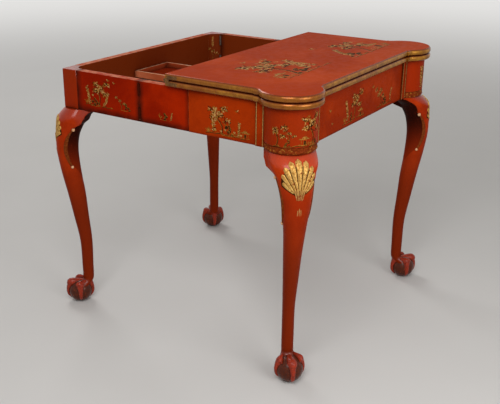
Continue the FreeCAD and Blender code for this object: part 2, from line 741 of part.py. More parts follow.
blocks, screws, screw_seats = [], [], []
BLOCK_BOTTOM = f"({RAIL_TOP} - block_size)"
SCREW_TIP = f"({RAIL_TOP} + screw_bite)"
for x, y, middle_x, middle_y in block_places():
    hole = bar("screw_radius + screw_fit", middle_x, middle_y, (BLOCK_BOTTOM, SCREW_TIP))
    blocks.append(cut(box(x, y, (BLOCK_BOTTOM, RAIL_TOP)), hole))
    shank = bar("screw_radius", middle_x, middle_y, (BLOCK_BOTTOM, SCREW_TIP))
    head = bar("screw_head_radius", middle_x, middle_y,
               (f"({BLOCK_BOTTOM} - screw_head_height)", BLOCK_BOTTOM))
    screws.append(fuse(shank, head))
    screw_seats.append(hole)
sub_part(group(*blocks), "leaf_blocks")
sub_part(group(*screws), "leaf_screws")


def board(name, ends, dish_face, dish_upwards):
    """An eared leaf that steps out over the strips, with a rounded edge and a dish in each ear."""
    body = doc.addObject("PartDesign::Body", name)
    thick = f"{ends[1]} - {ends[0]}"
    drawing = plan_sketch(body, ends[0])
    draw_rectangle(drawing, (f"-{EDGE_X}", EDGE_X),
                   (f"{FRONT} - leaf_overhang", f"{HINGE_Y} - hinge_plane_gap"))
    feature(body, "Pad", drawing, thick)
    step_end = f"({STRIP_START} + strip_width)"
    for side in SIDE_NAMES:
        for x, y in ((span(side, TURRET_X, f"{EDGE_X} + strip_proud"), (TURRET_Y, f"{FRONT} + {step_end}")),
                     (span(side, f"{HALF_WIDTH} - {step_end}", TURRET_X),
                      (f"{FRONT} - leaf_overhang - strip_proud", TURRET_Y))):
            drawing = plan_sketch(body, ends[0])
            draw_rectangle(drawing, x, y)
            feature(body, "Pad", drawing, thick)
        drawing = plan_sketch(body, ends[0])
        draw_circle(drawing, f"{side} * {TURRET_X}", TURRET_Y, "ear_radius")
        feature(body, "Pad", drawing, thick)
    doc.recompute()

    def is_cove(edge):
        kinds = sorted(face.Surface.TypeId for face in body.Shape.ancestorsOfType(edge, Part.Face))
        return edge.BoundBox.ZLength > TINY and kinds == ["Part::GeomCylinder", "Part::GeomPlane"]

    fillet(body, edge_names(body.Shape, is_cove), "ear_cove")
    rear_edge = body.Shape.BoundBox.YMax

    def is_rim(edge):
        return edge.BoundBox.ZLength < TINY and edge.BoundBox.YMin < rear_edge - TINY

    fillet(body, edge_names(body.Shape, is_rim), "leaf_nose")
    for side in SIDE_NAMES:
        drawing = plan_sketch(body, dish_face)
        draw_circle(drawing, f"{side} * {TURRET_X}", TURRET_Y, "dish_radius")
        dish = feature(body, "Pocket", drawing, "dish_depth")
        dish.Reversed = dish_upwards
    doc.recompute()
    return body


def baize_shape(z, gap):
    """The lined middle of a leaf, hollowed at the corners round the candle dishes."""
    cloth = box((f"(baize_margin + {gap} - {EDGE_X})", f"({EDGE_X} - baize_margin - {gap})"),
                (f"({FRONT} - leaf_overhang + baize_margin + {gap})", f"({HINGE_Y} - hinge_plane_gap)"), z)
    rounds = [bar(f"dish_radius + dish_rim + {gap}", f"{side} * {TURRET_X}", TURRET_Y, z)
              for side in SIDE_NAMES]
    return cut(cloth, *rounds)


FLOOR_OF_LOWER = f"({LOWER_LEAF[1]} - baize_recess)"
FLOOR_OF_UPPER = f"({UPPER_LEAF[0]} + baize_recess)"
lower_board = board("lower_board", LOWER_LEAF, LOWER_LEAF[1], False)
lower_recess = baize_shape((FLOOR_OF_LOWER, LOWER_LEAF[1]), "0")
sub_part(cut(lower_board, lower_recess, *lower_seats, *screw_seats), "lower_leaf")
sub_part(baize_shape((FLOOR_OF_LOWER, f"({FLOOR_OF_LOWER} + baize_thick)"), "baize_gap"), "lower_baize")
upper_board = board("upper_board", UPPER_LEAF, UPPER_LEAF[0], True)
upper_recess = baize_shape((UPPER_LEAF[0], FLOOR_OF_UPPER), "0")
sub_part(cut(upper_board, upper_recess, *upper_seats), "upper_leaf")
sub_part(baize_shape((f"({FLOOR_OF_UPPER} - baize_thick)", FLOOR_OF_UPPER), "baize_gap"), "upper_baize")

doc.recompute()
for thing in doc.Objects:
    if "Invalid" in thing.State or "Error" in thing.State:
        raise RuntimeError(f"{thing.Label} did not build: {thing.State}")
for piece in sub_parts:
    if piece.Shape.isNull() or not piece.Shape.isValid() or not piece.Shape.Solids:
        raise RuntimeError(f"{piece.Label} has no valid shape")
    if any(not part.Shape.Solids for part in getattr(piece, "Links", [])):
        raise RuntimeError(f"{piece.Label} lost one of its solids")
os.makedirs("parts", exist_ok=True)
for piece in sub_parts:
    piece.Shape.exportStep(f"parts/{piece.Label}.step")
print(f"{len(sub_parts)} sub-parts written")
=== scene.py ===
# %% [markdown]
# A scarlet card table with gilt pictures, seen half set up: its rear frame is drawn out on
# hinged sides, and the top is still folded over the front half. It could be modelled afresh
# in Blender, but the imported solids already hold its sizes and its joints. So they come in
# first as a fixed frame, and only what they lack is made below: finishes, carving, paint and
# cloth. All of it is placed in that same frame, so nothing has to be fitted by eye.

# %% Load the table
import json
import math
import random

import bmesh
import bpy
from mathutils import Matrix, Vector


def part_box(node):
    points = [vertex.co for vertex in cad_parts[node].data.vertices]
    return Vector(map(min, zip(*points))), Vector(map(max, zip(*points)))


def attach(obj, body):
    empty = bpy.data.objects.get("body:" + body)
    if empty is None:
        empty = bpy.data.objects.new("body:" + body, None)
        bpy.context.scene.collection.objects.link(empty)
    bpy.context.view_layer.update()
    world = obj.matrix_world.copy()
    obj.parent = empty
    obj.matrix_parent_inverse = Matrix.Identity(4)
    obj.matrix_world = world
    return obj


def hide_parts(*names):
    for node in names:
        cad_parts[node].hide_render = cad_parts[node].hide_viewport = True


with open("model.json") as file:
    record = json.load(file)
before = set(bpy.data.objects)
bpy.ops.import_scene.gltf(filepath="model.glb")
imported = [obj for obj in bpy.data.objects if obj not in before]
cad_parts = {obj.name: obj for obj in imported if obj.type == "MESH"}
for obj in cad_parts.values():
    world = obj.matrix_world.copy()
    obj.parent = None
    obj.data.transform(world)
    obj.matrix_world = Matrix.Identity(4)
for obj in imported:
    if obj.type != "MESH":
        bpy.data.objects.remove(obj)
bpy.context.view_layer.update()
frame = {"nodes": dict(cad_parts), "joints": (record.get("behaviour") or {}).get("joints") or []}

nodes = frame["nodes"]

# %% [markdown]
# The camera stands at the near corner, a little above the top, as a visitor would. Its place
# could be found by trying, but the frame has many straight edges: lines that run away from us
# meet at points on the horizon, and those points gave its place, its lens and its tilt.

# %% Camera
scene = bpy.context.scene
scene.view_settings.view_transform = "Standard"
camera = bpy.data.objects.new("camera", bpy.data.cameras.new("camera"))
scene.collection.objects.link(camera)
CAMERA_PLACE = (-1.85821, -1.19972, 1.14853)
CAMERA_TILT, CAMERA_TURN = math.radians(68.57), math.radians(-55.35)
SENSOR_WIDTH, LENS = 36, 58.71
SHIFT_X, SHIFT_Y = 0.0554, -0.0023
camera.location = CAMERA_PLACE
camera.rotation_euler = (CAMERA_TILT, 0, CAMERA_TURN)
camera.data.sensor_width = SENSOR_WIDTH
camera.data.lens = LENS
camera.data.shift_x = SHIFT_X
camera.data.shift_y = SHIFT_Y
scene.camera = camera
print("camera set, lens", camera.data.lens)

# %% [markdown]
# Materials are built from nodes. They could be joined by hand in the node editor, or one by one
# in many lines of code. This small helper keeps a few words for it instead: add a node, feed a
# socket with a value or another socket, and the sums, fades, mixes and noises that come up
# again and again.

# %% Short words for node trees
class Tree:
    """A node tree with short words for adding nodes and joining sockets."""

    def __init__(self, tree):
        self.tree = tree

    def feed(self, socket, value):
        if isinstance(value, bpy.types.NodeSocket):
            self.tree.links.new(value, socket)
        else:
            socket.default_value = value

    def add(self, kind, inputs=None, **settings):
        node = self.tree.nodes.new(kind)
        for name, value in settings.items():
            setattr(node, name, value)
        for name, value in (inputs or {}).items():
            self.feed(node.inputs[name], value)
        return node

    def sum(self, operation, *values, clamp=False):
        node = self.add("ShaderNodeMath", operation=operation, use_clamp=clamp)
        for number, value in enumerate(values):
            self.feed(node.inputs[number], value)
        return node.outputs[0]

    def fade(self, value, low, high, start=0.0, stop=1.0):
        """A smooth step: start below low, stop above high."""
        node = self.add("ShaderNodeMapRange", interpolation_type="SMOOTHSTEP")
        for number, given in enumerate((value, low, high, start, stop)):
            self.feed(node.inputs[number], given)
        return node.outputs[0]

    def mix(self, share, first, second, blend="MIX"):
        node = self.add("ShaderNodeMix", data_type="RGBA", blend_type=blend)
        self.feed(node.inputs[0], share)
        for number, colour in ((6, first), (7, second)):
            self.feed(node.inputs[number], colour)
        return node.outputs[2]

    def noise(self, place, scale, detail=3.0, rough=0.55, warp=0.0):
        node = self.add("ShaderNodeTexNoise", inputs={
            "Scale": scale, "Detail": detail, "Roughness": rough, "Distortion": warp})
        self.feed(node.inputs["Vector"], place)
        return node.outputs["Fac"]


def effect(name, inputs, outputs):
    """An empty node group with named sockets: (name, kind, value) in, (name, kind) out."""
    group = bpy.data.node_groups.new(name, "ShaderNodeTree")
    for label, kind, value in inputs:
        socket = group.interface.new_socket(label, in_out="INPUT", socket_type=f"NodeSocket{kind}")
        socket.default_value = value
    for label, kind in outputs:
        group.interface.new_socket(label, in_out="OUTPUT", socket_type=f"NodeSocket{kind}")
    tree = Tree(group)
    return tree, group.nodes.new("NodeGroupInput").outputs, group.nodes.new("NodeGroupOutput").inputs


def rgb(red, green, blue):
    """A colour as seen on a screen, 0 to 255, as the linear light that Blender works with."""
    def linear(value):
        value /= 255
        return value / 12.92 if value <= 0.04045 else ((value + 0.055) / 1.055) ** 2.4
    return (linear(red), linear(green), linear(blue), 1.0)


print("node words ready")

# %% [markdown]
# Old lacquer is never one red. It has broad drifts where it was rubbed thin, a fine mottle
# from the brush and the ground below, and a few dark specks. A painted image could hold all
# that, but it would need a file and would show seams; three noises of different sizes need
# neither. This group gives them as masks that any finish can use with its own strength.

# %% Effect: drift, mottle and specks
tree, given, result = effect(
    "aged_tone", [("Drift scale", "Float", 7.0), ("Mottle scale", "Float", 60.0)],
    [("Drift", "Float"), ("Mottle", "Float"), ("Specks", "Float")])
place = tree.add("ShaderNodeTexCoord").outputs["Object"]
drift = tree.noise(place, given["Drift scale"], detail=4, warp=0.6)
mottle = tree.noise(place, given["Mottle scale"], detail=5, rough=0.65)
specks = tree.noise(place, 420.0, detail=2)
tree.feed(result["Drift"], tree.fade(drift, 0.36, 0.64))
tree.feed(result["Mottle"], tree.fade(mottle, 0.3, 0.7))
tree.feed(result["Specks"], tree.fade(specks, 0.68, 0.76))
print("aged_tone ready")

# %% [markdown]
# Lacquer shrinks as it ages and breaks into fine crackle. The cracks could be drawn one by one,
# but the edges of Voronoi cells, bent a little by noise, draw a whole net of such lines at
# once, and a second noise keeps it to some patches.

# %% Effect: crackle
tree, given, result = effect(
    "crackle", [("Scale", "Float", 120.0), ("Width", "Float", 0.035)], [("Lines", "Float")])
place = tree.add("ShaderNodeTexCoord").outputs["Object"]
bend = tree.add("ShaderNodeTexNoise", inputs={"Vector": place, "Scale": 45.0, "Detail": 3.0})
bent = tree.add("ShaderNodeVectorMath", operation="MULTIPLY_ADD")
tree.feed(bent.inputs[0], bend.outputs["Color"])
bent.inputs[1].default_value = (0.01, 0.01, 0.01)
tree.feed(bent.inputs[2], place)
cells = tree.add("ShaderNodeTexVoronoi", feature="DISTANCE_TO_EDGE",
                 inputs={"Vector": bent.outputs[0], "Scale": given["Scale"]})
lines = tree.fade(cells.outputs["Distance"], 0.0, given["Width"], 1.0, 0.0)
patches = tree.fade(tree.noise(place, 14.0), 0.42, 0.62)
tree.feed(result["Lines"], tree.sum("MULTIPLY", lines, patches))
print("crackle ready")

# %% [markdown]
# Edges that hands touch lose their lacquer first. Pointiness, the usual mask for edges, needs a
# fine mesh, and these boards have few points. The Bevel node looks round each place instead
# and returns a rounded normal; where it leans away from the true normal there is an edge. The
# same rounded normal softens the sharp edges of the boards in the light.

# %% Effect: worn edges
tree, given, result = effect(
    "worn_edges", [("Radius", "Float", 0.0015), ("Breaks", "Float", 55.0)],
    [("Wear", "Float"), ("Rounded", "Vector")])
place = tree.add("ShaderNodeTexCoord").outputs["Object"]
rounded = tree.add("ShaderNodeBevel", samples=4, inputs={"Radius": given["Radius"]})
true_normal = tree.add("ShaderNodeNewGeometry").outputs["Normal"]
lean = tree.add("ShaderNodeVectorMath", operation="DOT_PRODUCT")
tree.feed(lean.inputs[0], rounded.outputs[0])
tree.feed(lean.inputs[1], true_normal)
edge = tree.fade(lean.outputs["Value"], 0.80, 0.99, 1.0, 0.0)
breaks = tree.fade(tree.noise(place, given["Breaks"], detail=5), 0.40, 0.60)
tree.feed(result["Wear"], tree.sum("MULTIPLY", edge, breaks))
tree.feed(result["Rounded"], rounded.outputs[0])
print("worn_edges ready")

# %% [markdown]
# Dust and old polish gather where boards meet, and shade falls there as well. They could be painted
# on by hand, corner by corner. Ambient occlusion measures how closed in a place is, which makes a
# mask for that dust and for a painted shade in the corners, and it follows every board by itself.

# %% Effect: dust and painted shade in corners
tree, given, result = effect("corner_dirt", [("Reach", "Float", 0.02)], [("Dirt", "Float")])
place = tree.add("ShaderNodeTexCoord").outputs["Object"]
open_sky = tree.add("ShaderNodeAmbientOcclusion", samples=6, inputs={"Distance": given["Reach"]})
closed = tree.fade(open_sky.outputs["AO"], 0.35, 0.95, 1.0, 0.0)
patchy = tree.fade(tree.noise(place, 40.0, detail=4), 0.2, 0.6, 0.55, 1.0)
tree.feed(result["Dirt"], tree.sum("MULTIPLY", closed, patchy))
print("corner_dirt ready")

# %% [markdown]
# Where two boards meet flush, hands and polish have left a dark streak along the joint. Nothing
# is closed in there, so the last effect doesn't find it. A place's distance from a line across
# the board gives the streak instead; the way and the line are set in each finish. On the top the
# same streak is a painted shade in the groove between the noses of the two leaves.

# %% Effect: dirt along a joint, painted shade along a groove
tree, given, result = effect(
    "joint_dirt",
    [("Way", "Vector", (0.0, 1.0, 0.0)), ("Line", "Float", 0.1), ("Reach", "Float", 0.012)],
    [("Dirt", "Float")])
place = tree.add("ShaderNodeTexCoord").outputs["Object"]
along = tree.add("ShaderNodeVectorMath", operation="DOT_PRODUCT")
tree.feed(along.inputs[0], place)
tree.feed(along.inputs[1], given["Way"])
away = tree.sum("ABSOLUTE", tree.sum("SUBTRACT", along.outputs["Value"], given["Line"]))
near = tree.fade(away, 0.0, given["Reach"], 1.0, 0.0)
patchy = tree.fade(tree.noise(place, 30.0, detail=4), 0.25, 0.65, 0.6, 1.0)
tree.feed(result["Dirt"], tree.sum("MULTIPLY", near, patchy))
print("joint_dirt ready")

# %% [markdown]
# The boards are lacquered outside, but their inner faces are brown and dull. Their top edges are
# painted a pale tan, partly rubbed lacquer and partly a painted highlight of the light from above.
# Each face could have a material of its own, but the solids' meshes stay as they are, so one finish
# has to tell its faces apart. A face looks inwards when its normal points back towards the middle
# of the table: position times normal is then below 0.

# %% Effect: which way a face looks
tree, given, result = effect(
    "board_faces", [("Soft", "Float", 0.01)],
    [("Inward", "Float"), ("Upward", "Float"), ("Downward", "Float")])
coordinates = tree.add("ShaderNodeTexCoord")
flat_place = tree.add("ShaderNodeVectorMath", operation="MULTIPLY")
tree.feed(flat_place.inputs[0], coordinates.outputs["Object"])
flat_place.inputs[1].default_value = (1.0, 1.0, 0.0)
away = tree.add("ShaderNodeVectorMath", operation="DOT_PRODUCT")
tree.feed(away.inputs[0], flat_place.outputs[0])
tree.feed(away.inputs[1], coordinates.outputs["Normal"])
parts = tree.add("ShaderNodeSeparateXYZ", inputs={"Vector": coordinates.outputs["Normal"]})
upright = parts.outputs["Z"]
back = tree.sum("MULTIPLY", given["Soft"], -1.0)
tree.feed(result["Inward"], tree.fade(away.outputs["Value"], back, given["Soft"], 1.0, 0.0))
tree.feed(result["Upward"], tree.fade(upright, 0.6, 0.8))
tree.feed(result["Downward"], tree.fade(upright, -0.8, -0.6, 1.0, 0.0))
print("board_faces ready")

# %% [markdown]
# Finishes and pieces below follow the main lines of the frame: the faces of its rails, their
# foot and top, and the hinge lines of the sides. They could be typed in again as numbers, but
# read from the solids they stay right if the table changes size. Pieces are sized in millimetres
# from here on, as a joiner would write them, and MM turns that into metres, which the nodes and
# the meshes work in.

# %% Lines and faces of the frame
MM = 0.001


def in_mm(metres):
    """A length in millimetres, without the stray last digits of a mesh's numbers."""
    return round(metres / MM, 3)


hinges = {joint["name"]: joint["pos_m"] for joint in frame["joints"]}
SIDE_FACE = in_mm(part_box("right_side_rail")[1].x)
FRONT_FACE = in_mm(-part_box("front_rail")[0].y)
REAR_FACE = in_mm(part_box("rear_rail")[1].y)
TOP_FACE = in_mm(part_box("upper_leaf")[1].z)
RAIL_FOOT, RAIL_TOP = (in_mm(corner.z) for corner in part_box("front_rail"))
LIP_END = in_mm(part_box("left_side_rail")[1].y)
MIDDLE_HINGE = in_mm(hinges["left_middle_hinge"][1])
REAR_HINGE = in_mm(hinges["left_rear_hinge"][1])
LEAF_SEAM = in_mm(hinges["top_hinge"][2])
print("faces: side", SIDE_FACE, "front", FRONT_FACE, "rear", REAR_FACE, "top", TOP_FACE)
print("rails from", RAIL_FOOT, "to", RAIL_TOP, "hinge lines at", MIDDLE_HINGE, "and", REAR_HINGE)

# %% [markdown]
# The lacquer itself: a red that drifts to a deeper one, dark crackle, worn edges, and dust with a
# painted shade in the corners. Boards also get brown inner faces and pale top edges, partly rubbed
# and partly a painted highlight of the light from above, and a painted shade darkens the legs
# towards the foot. Every red piece could have nodes of its own, but one function with a few
# choices keeps the same lacquer on all of them. Lacquer is glossy where it is whole and duller
# where it is rubbed, so the roughness follows the mottle.

# %% Finish: red lacquer
def place_effect(tree, name, **values):
    node = tree.add("ShaderNodeGroup", node_tree=bpy.data.node_groups[name])
    for label, value in values.items():
        tree.feed(node.inputs[label.replace("_", " ")], value)
    return node.outputs


def new_finish(name):
    material = bpy.data.materials.new(name)
    material.use_nodes = True
    tree = Tree(material.node_tree)
    return material, tree, material.node_tree.nodes["Principled BSDF"]


WORN_AND_HIGHLIT_TAN = rgb(208, 122, 80)
DARK_BROWN = rgb(52, 18, 9)
UNDERSIDE = rgb(74, 34, 20)
INSIDE_BROWN = rgb(114, 42, 12)
# Heights of a leg, in metres: a painted shade darkens it from the second down to the first,
# and its head begins at the other two
SHIN_DARK, KNEE_BRIGHT = 0.26, 0.56
HEAD_START, HEAD_FULL = RAIL_FOOT * MM, (RAIL_FOOT + 3) * MM


def lacquer(name, red, deep, inside=None, top=WORN_AND_HIGHLIT_TAN, wear=0.8, dirt_and_shade=0.85, joints=(), low=None,
            high=None, gloss=0.014):
    """Lacquer in two reds. A board names its inside; a leg names its painted shin shade and its head
    red.
    """
    material, tree, shader = new_finish(name)
    tone = place_effect(tree, "aged_tone", Drift_scale=7.0)
    edges = place_effect(tree, "worn_edges")
    lines = place_effect(tree, "crackle")["Lines"]
    corner = place_effect(tree, "corner_dirt")["Dirt"]
    colour = tree.mix(tone["Drift"], red, deep)
    colour = tree.mix(tree.sum("MULTIPLY", tone["Mottle"], 0.35), colour, deep)
    if low:
        place = tree.add("ShaderNodeTexCoord").outputs["Object"]
        height = tree.add("ShaderNodeSeparateXYZ", inputs={"Vector": place}).outputs["Z"]
        # A painted shade: the leg darkens towards the foot, where less light falls
        colour = tree.mix(tree.fade(height, SHIN_DARK, KNEE_BRIGHT, 1.0, 0.0), colour, low)
        above = tree.fade(height, HEAD_START, HEAD_FULL)
        colour = tree.mix(above, colour, tree.mix(tone["Drift"], high, deep))
        inward = place_effect(tree, "board_faces")["Inward"]
        colour = tree.mix(tree.sum("MULTIPLY", inward, above), colour, INSIDE_BROWN)
        normal = tree.add("ShaderNodeTexCoord").outputs["Normal"]
        upright = tree.add("ShaderNodeSeparateXYZ", inputs={"Vector": normal}).outputs["Z"]
        tree.feed(shader.inputs["Coat Weight"], tree.fade(upright, 0.05, 0.5, 0.0, 0.6))
        shader.inputs["Coat Roughness"].default_value = 0.22
    if inside:
        faces = place_effect(tree, "board_faces")
        colour = tree.mix(faces["Inward"], colour, inside)
        # Top faces turn pale tan: partly rubbed lacquer, partly a painted highlight of light from above
        colour = tree.mix(faces["Upward"], colour, tree.mix(tone["Mottle"], top, red))
        colour = tree.mix(faces["Downward"], colour, UNDERSIDE)
    colour = tree.mix(tree.sum("MULTIPLY", edges["Wear"], wear), colour, WORN_AND_HIGHLIT_TAN)
    for way, line, reach, strength in joints:
        streak = place_effect(tree, "joint_dirt", Way=way, Line=line, Reach=reach)["Dirt"]
        colour = tree.mix(tree.sum("MULTIPLY", streak, strength), colour, DARK_BROWN)
    colour = tree.mix(tree.sum("MULTIPLY", lines, 0.25), colour, DARK_BROWN)
    colour = tree.mix(tree.sum("MULTIPLY", tone["Specks"], 0.4), colour, DARK_BROWN)
    # Dust and a painted shade darken the corners, where the boards close in
    colour = tree.mix(tree.sum("MULTIPLY", corner, dirt_and_shade), colour, DARK_BROWN)
    tree.feed(shader.inputs["Base Color"], colour)
    tree.feed(shader.inputs["Roughness"], tree.fade(tone["Mottle"], 0.0, 1.0, 0.26, 0.46))
    shader.inputs["Specular IOR Level"].default_value = gloss
    height = tree.sum("SUBTRACT", tree.sum("MULTIPLY", tone["Mottle"], 0.4), lines)
    bump = tree.add("ShaderNodeBump", inputs={"Strength": 0.25, "Distance": 0.0003, "Height": height})
    tree.feed(bump.inputs["Normal"], edges["Rounded"])
    tree.feed(shader.inputs["Normal"], bump.outputs[0])
    return material


ACROSS, UP = (0.0, 1.0, 0.0), (0.0, 0.0, 1.0)
# Each streak of dirt: its way, its line and its reach in metres, and its strength
RAIL_STREAKS = ((UP, RAIL_FOOT * MM, 0.006, 0.5),)
PANEL_STREAKS = ((ACROSS, MIDDLE_HINGE * MM, 0.019, 0.97), (ACROSS, REAR_HINGE * MM, 0.024, 0.9),
                 (ACROSS, LIP_END * MM, 0.016, 0.7), (UP, (RAIL_FOOT + 0.5) * MM, 0.02, 0.92))
rail_lacquer = lacquer("rail_lacquer", rgb(170, 52, 6), rgb(142, 38, 3), INSIDE_BROWN,
                       joints=RAIL_STREAKS)
panel_lacquer = lacquer("panel_lacquer", rgb(172, 38, 2), rgb(138, 24, 1), INSIDE_BROWN,
                        joints=PANEL_STREAKS, wear=0.4)
# low is the painted shade of the shin, and high is the red of the head
leg_lacquer = lacquer("leg_lacquer", rgb(192, 60, 14), rgb(156, 42, 8), wear=0.3, low=rgb(122, 36, 8),
                      high=rgb(146, 43, 8), gloss=0.025)
# The tray's pale top colour is partly wear and partly a painted highlight of light from above
tray_lacquer = lacquer("tray_lacquer", rgb(206, 116, 78), rgb(172, 82, 48), inside=rgb(170, 70, 36),
                       top=rgb(246, 206, 168), wear=1.0)
tray_floor = lacquer("tray_floor", rgb(146, 42, 14), rgb(112, 30, 8), wear=0.3)
print("lacquers ready")

# %% [markdown]
# The folded top is a lighter orange red, hazed by polish, and its rounded edges are painted in
# bronze. The bronze could be a band of mesh laid round the edge. But it ends where the moulding
# turns flat, so the slope of the surface tells the nose from the flat, and one material does
# both. A painted shade darkens the bronze towards the line where the two leaves meet, in the
# groove between their noses.

# %% Finish: the leaves of the top
def leaf_finish():
    material, tree, shader = new_finish("leaf_lacquer")
    tone = place_effect(tree, "aged_tone", Drift_scale=5.0)
    edges = place_effect(tree, "worn_edges", Radius=0.001)
    lines = place_effect(tree, "crackle", Scale=90.0)["Lines"]
    corner = place_effect(tree, "corner_dirt", Reach=0.006)["Dirt"]
    normal = tree.add("ShaderNodeTexCoord").outputs["Normal"]
    upright = tree.add("ShaderNodeSeparateXYZ", inputs={"Vector": normal}).outputs["Z"]
    slope = tree.sum("ABSOLUTE", upright)
    red = tree.mix(tone["Drift"], rgb(184, 68, 26), rgb(164, 54, 18))
    red = tree.mix(tree.sum("MULTIPLY", tone["Mottle"], 0.15), red, rgb(182, 80, 40))
    bronze = tree.mix(tone["Mottle"], rgb(188, 130, 44), rgb(130, 80, 22))
    bronze = tree.mix(tree.sum("MULTIPLY", tone["Drift"], 0.6), bronze, rgb(138, 68, 22))
    bronze = tree.mix(tree.fade(slope, 0.35, 0.8), bronze, rgb(122, 52, 14))
    nose = tree.fade(slope, 0.93, 0.985, 1.0, 0.0)
    colour = tree.mix(nose, red, bronze)
    # A painted shade darkens the bronze noses along the groove where the two leaves meet
    seam_shade = place_effect(tree, "joint_dirt", Way=UP, Line=LEAF_SEAM * MM, Reach=0.003)["Dirt"]
    colour = tree.mix(tree.sum("MULTIPLY", seam_shade, nose), colour, DARK_BROWN)
    colour = tree.mix(tree.sum("MULTIPLY", lines, 0.06), colour, DARK_BROWN)
    colour = tree.mix(tree.sum("MULTIPLY", tone["Specks"], 0.3), colour, DARK_BROWN)
    # Dust and a painted shade darken the leaf where it closes in, such as the groove at its edge
    colour = tree.mix(tree.sum("MULTIPLY", corner, 0.6), colour, DARK_BROWN)
    tree.feed(shader.inputs["Base Color"], colour)
    tree.feed(shader.inputs["Metallic"], tree.sum("MULTIPLY", nose, 0.5))
    dull = tree.fade(tone["Mottle"], 0.0, 1.0, 0.28, 0.44)
    tree.feed(shader.inputs["Roughness"], tree.sum("SUBTRACT", dull, tree.sum("MULTIPLY", nose, 0.14)))
    shader.inputs["Specular IOR Level"].default_value = 0.003
    tree.feed(shader.inputs["Coat Weight"], tree.sum("MULTIPLY", nose, 0.3))
    shader.inputs["Coat Roughness"].default_value = 0.14
    height = tree.sum("SUBTRACT", tree.sum("MULTIPLY", tone["Mottle"], 0.4), lines)
    bump = tree.add("ShaderNodeBump", inputs={"Strength": 0.12, "Distance": 0.0003, "Height": height})
    tree.feed(bump.inputs["Normal"], edges["Rounded"])
    tree.feed(shader.inputs["Normal"], bump.outputs[0])
    return material


leaf_lacquer = leaf_finish()
print("leaf finish ready")

# %% [markdown]
# Gilding is thin: gold leaf over a tan ground, rubbed through to red in places. Ink, cream and
# the paint of the feet wear in the same way, so one function makes them all. A bright metal is
# the quick way to gold, but here the metal is kept low, because aged leaf scatters light more
# than polished gold does.

# %% Finish: gilding, ink and cream
# Heights in metres between which the dark paint and painted shade behind a knee
# fade into the red of the leg
FADED_FOOT, DARK_TOP = 0.385, 0.52


def paint_finish(name, colour, shade, rubbed, metal, rough, rub=0.62, faded=None, gloss=0.01):
    """Paint in two shades, rubbed through in spots. Rub is how much of the noise is left whole."""
    material, tree, shader = new_finish(name)
    tone = place_effect(tree, "aged_tone", Drift_scale=60.0, Mottle_scale=240.0)
    corner = place_effect(tree, "corner_dirt", Reach=0.004)["Dirt"]
    place = tree.add("ShaderNodeTexCoord").outputs["Object"]
    worn = tree.fade(tree.noise(place, 150.0, detail=4), rub, rub + 0.06)
    mixed = tree.mix(tone["Mottle"], colour, shade)
    mixed = tree.mix(worn, mixed, rubbed)
    # Dust and a painted shade darken the paint where it meets the surface below
    mixed = tree.mix(tree.sum("MULTIPLY", corner, 0.75), mixed, DARK_BROWN)
    if faded:
        height = tree.add("ShaderNodeSeparateXYZ", inputs={"Vector": place}).outputs["Z"]
        mixed = tree.mix(tree.fade(height, FADED_FOOT, DARK_TOP, 1.0, 0.0), mixed, faded)
    tree.feed(shader.inputs["Base Color"], mixed)
    tree.feed(shader.inputs["Metallic"], tree.fade(worn, 0.0, 1.0, metal, 0.0))
    tree.feed(shader.inputs["Roughness"], tree.fade(tone["Mottle"], 0.0, 1.0, rough, rough + 0.2))
    shader.inputs["Specular IOR Level"].default_value = gloss
    bump = tree.add("ShaderNodeBump", inputs={
        "Strength": 0.3, "Distance": 0.0002, "Height": tone["Mottle"]})
    tree.feed(shader.inputs["Normal"], bump.outputs[0])
    return material


gilt = paint_finish("gilt", rgb(230, 184, 104), rgb(160, 108, 46), rgb(120, 44, 12), 0.35, 0.3)
ink = paint_finish("ink", rgb(44, 24, 10), rgb(66, 40, 16), rgb(116, 38, 10), 0.0, 0.4, rub=0.58)
cream = paint_finish("cream", rgb(206, 160, 98), rgb(164, 112, 56), rgb(150, 60, 22), 0.1, 0.4)
pearl_paint = paint_finish("pearl_paint", rgb(236, 192, 150), rgb(200, 146, 104), rgb(150, 60, 22),
                           0.05, 0.25)
worn_gilt = paint_finish("worn_gilt", rgb(180, 122, 46), rgb(128, 76, 22), rgb(130, 40, 8),
                         0.2, 0.35, rub=0.55)
ball_paint = paint_finish("ball_paint", rgb(98, 42, 22), rgb(58, 23, 12), rgb(132, 60, 34),
                          0.0, 0.12, gloss=0.16)
claw_paint = paint_finish("claw_paint", rgb(168, 54, 30), rgb(118, 34, 16), rgb(64, 22, 12),
                          0.0, 0.14, gloss=0.2)
bronze = paint_finish("bronze", rgb(138, 70, 28), rgb(96, 36, 12), rgb(120, 36, 10), 0.2, 0.3)
base_paint = paint_finish("base_paint", rgb(134, 54, 18), rgb(94, 34, 10), rgb(160, 102, 40),
                          0.1, 0.3, rub=0.56)
# Dark paint behind the knees and in the ears, which is partly a painted shade there
knee_black = paint_finish("knee_black", rgb(34, 10, 5), rgb(52, 14, 6), rgb(84, 24, 8),
                          0.0, 0.35, faded=rgb(128, 36, 9))
hinge_paint = paint_finish("hinge_paint", rgb(70, 20, 8), rgb(48, 14, 6), rgb(120, 90, 70),
                           0.0, 0.35, rub=0.66)
print("gilding, ink and cream ready")

# %% [markdown]
# The woods that no one sees are left bare: a straight-grained pine brown. Plain noise would look
# like stone. Wave bands that are stretched along the board and bent by noise give rings and
# grain at the right scale.

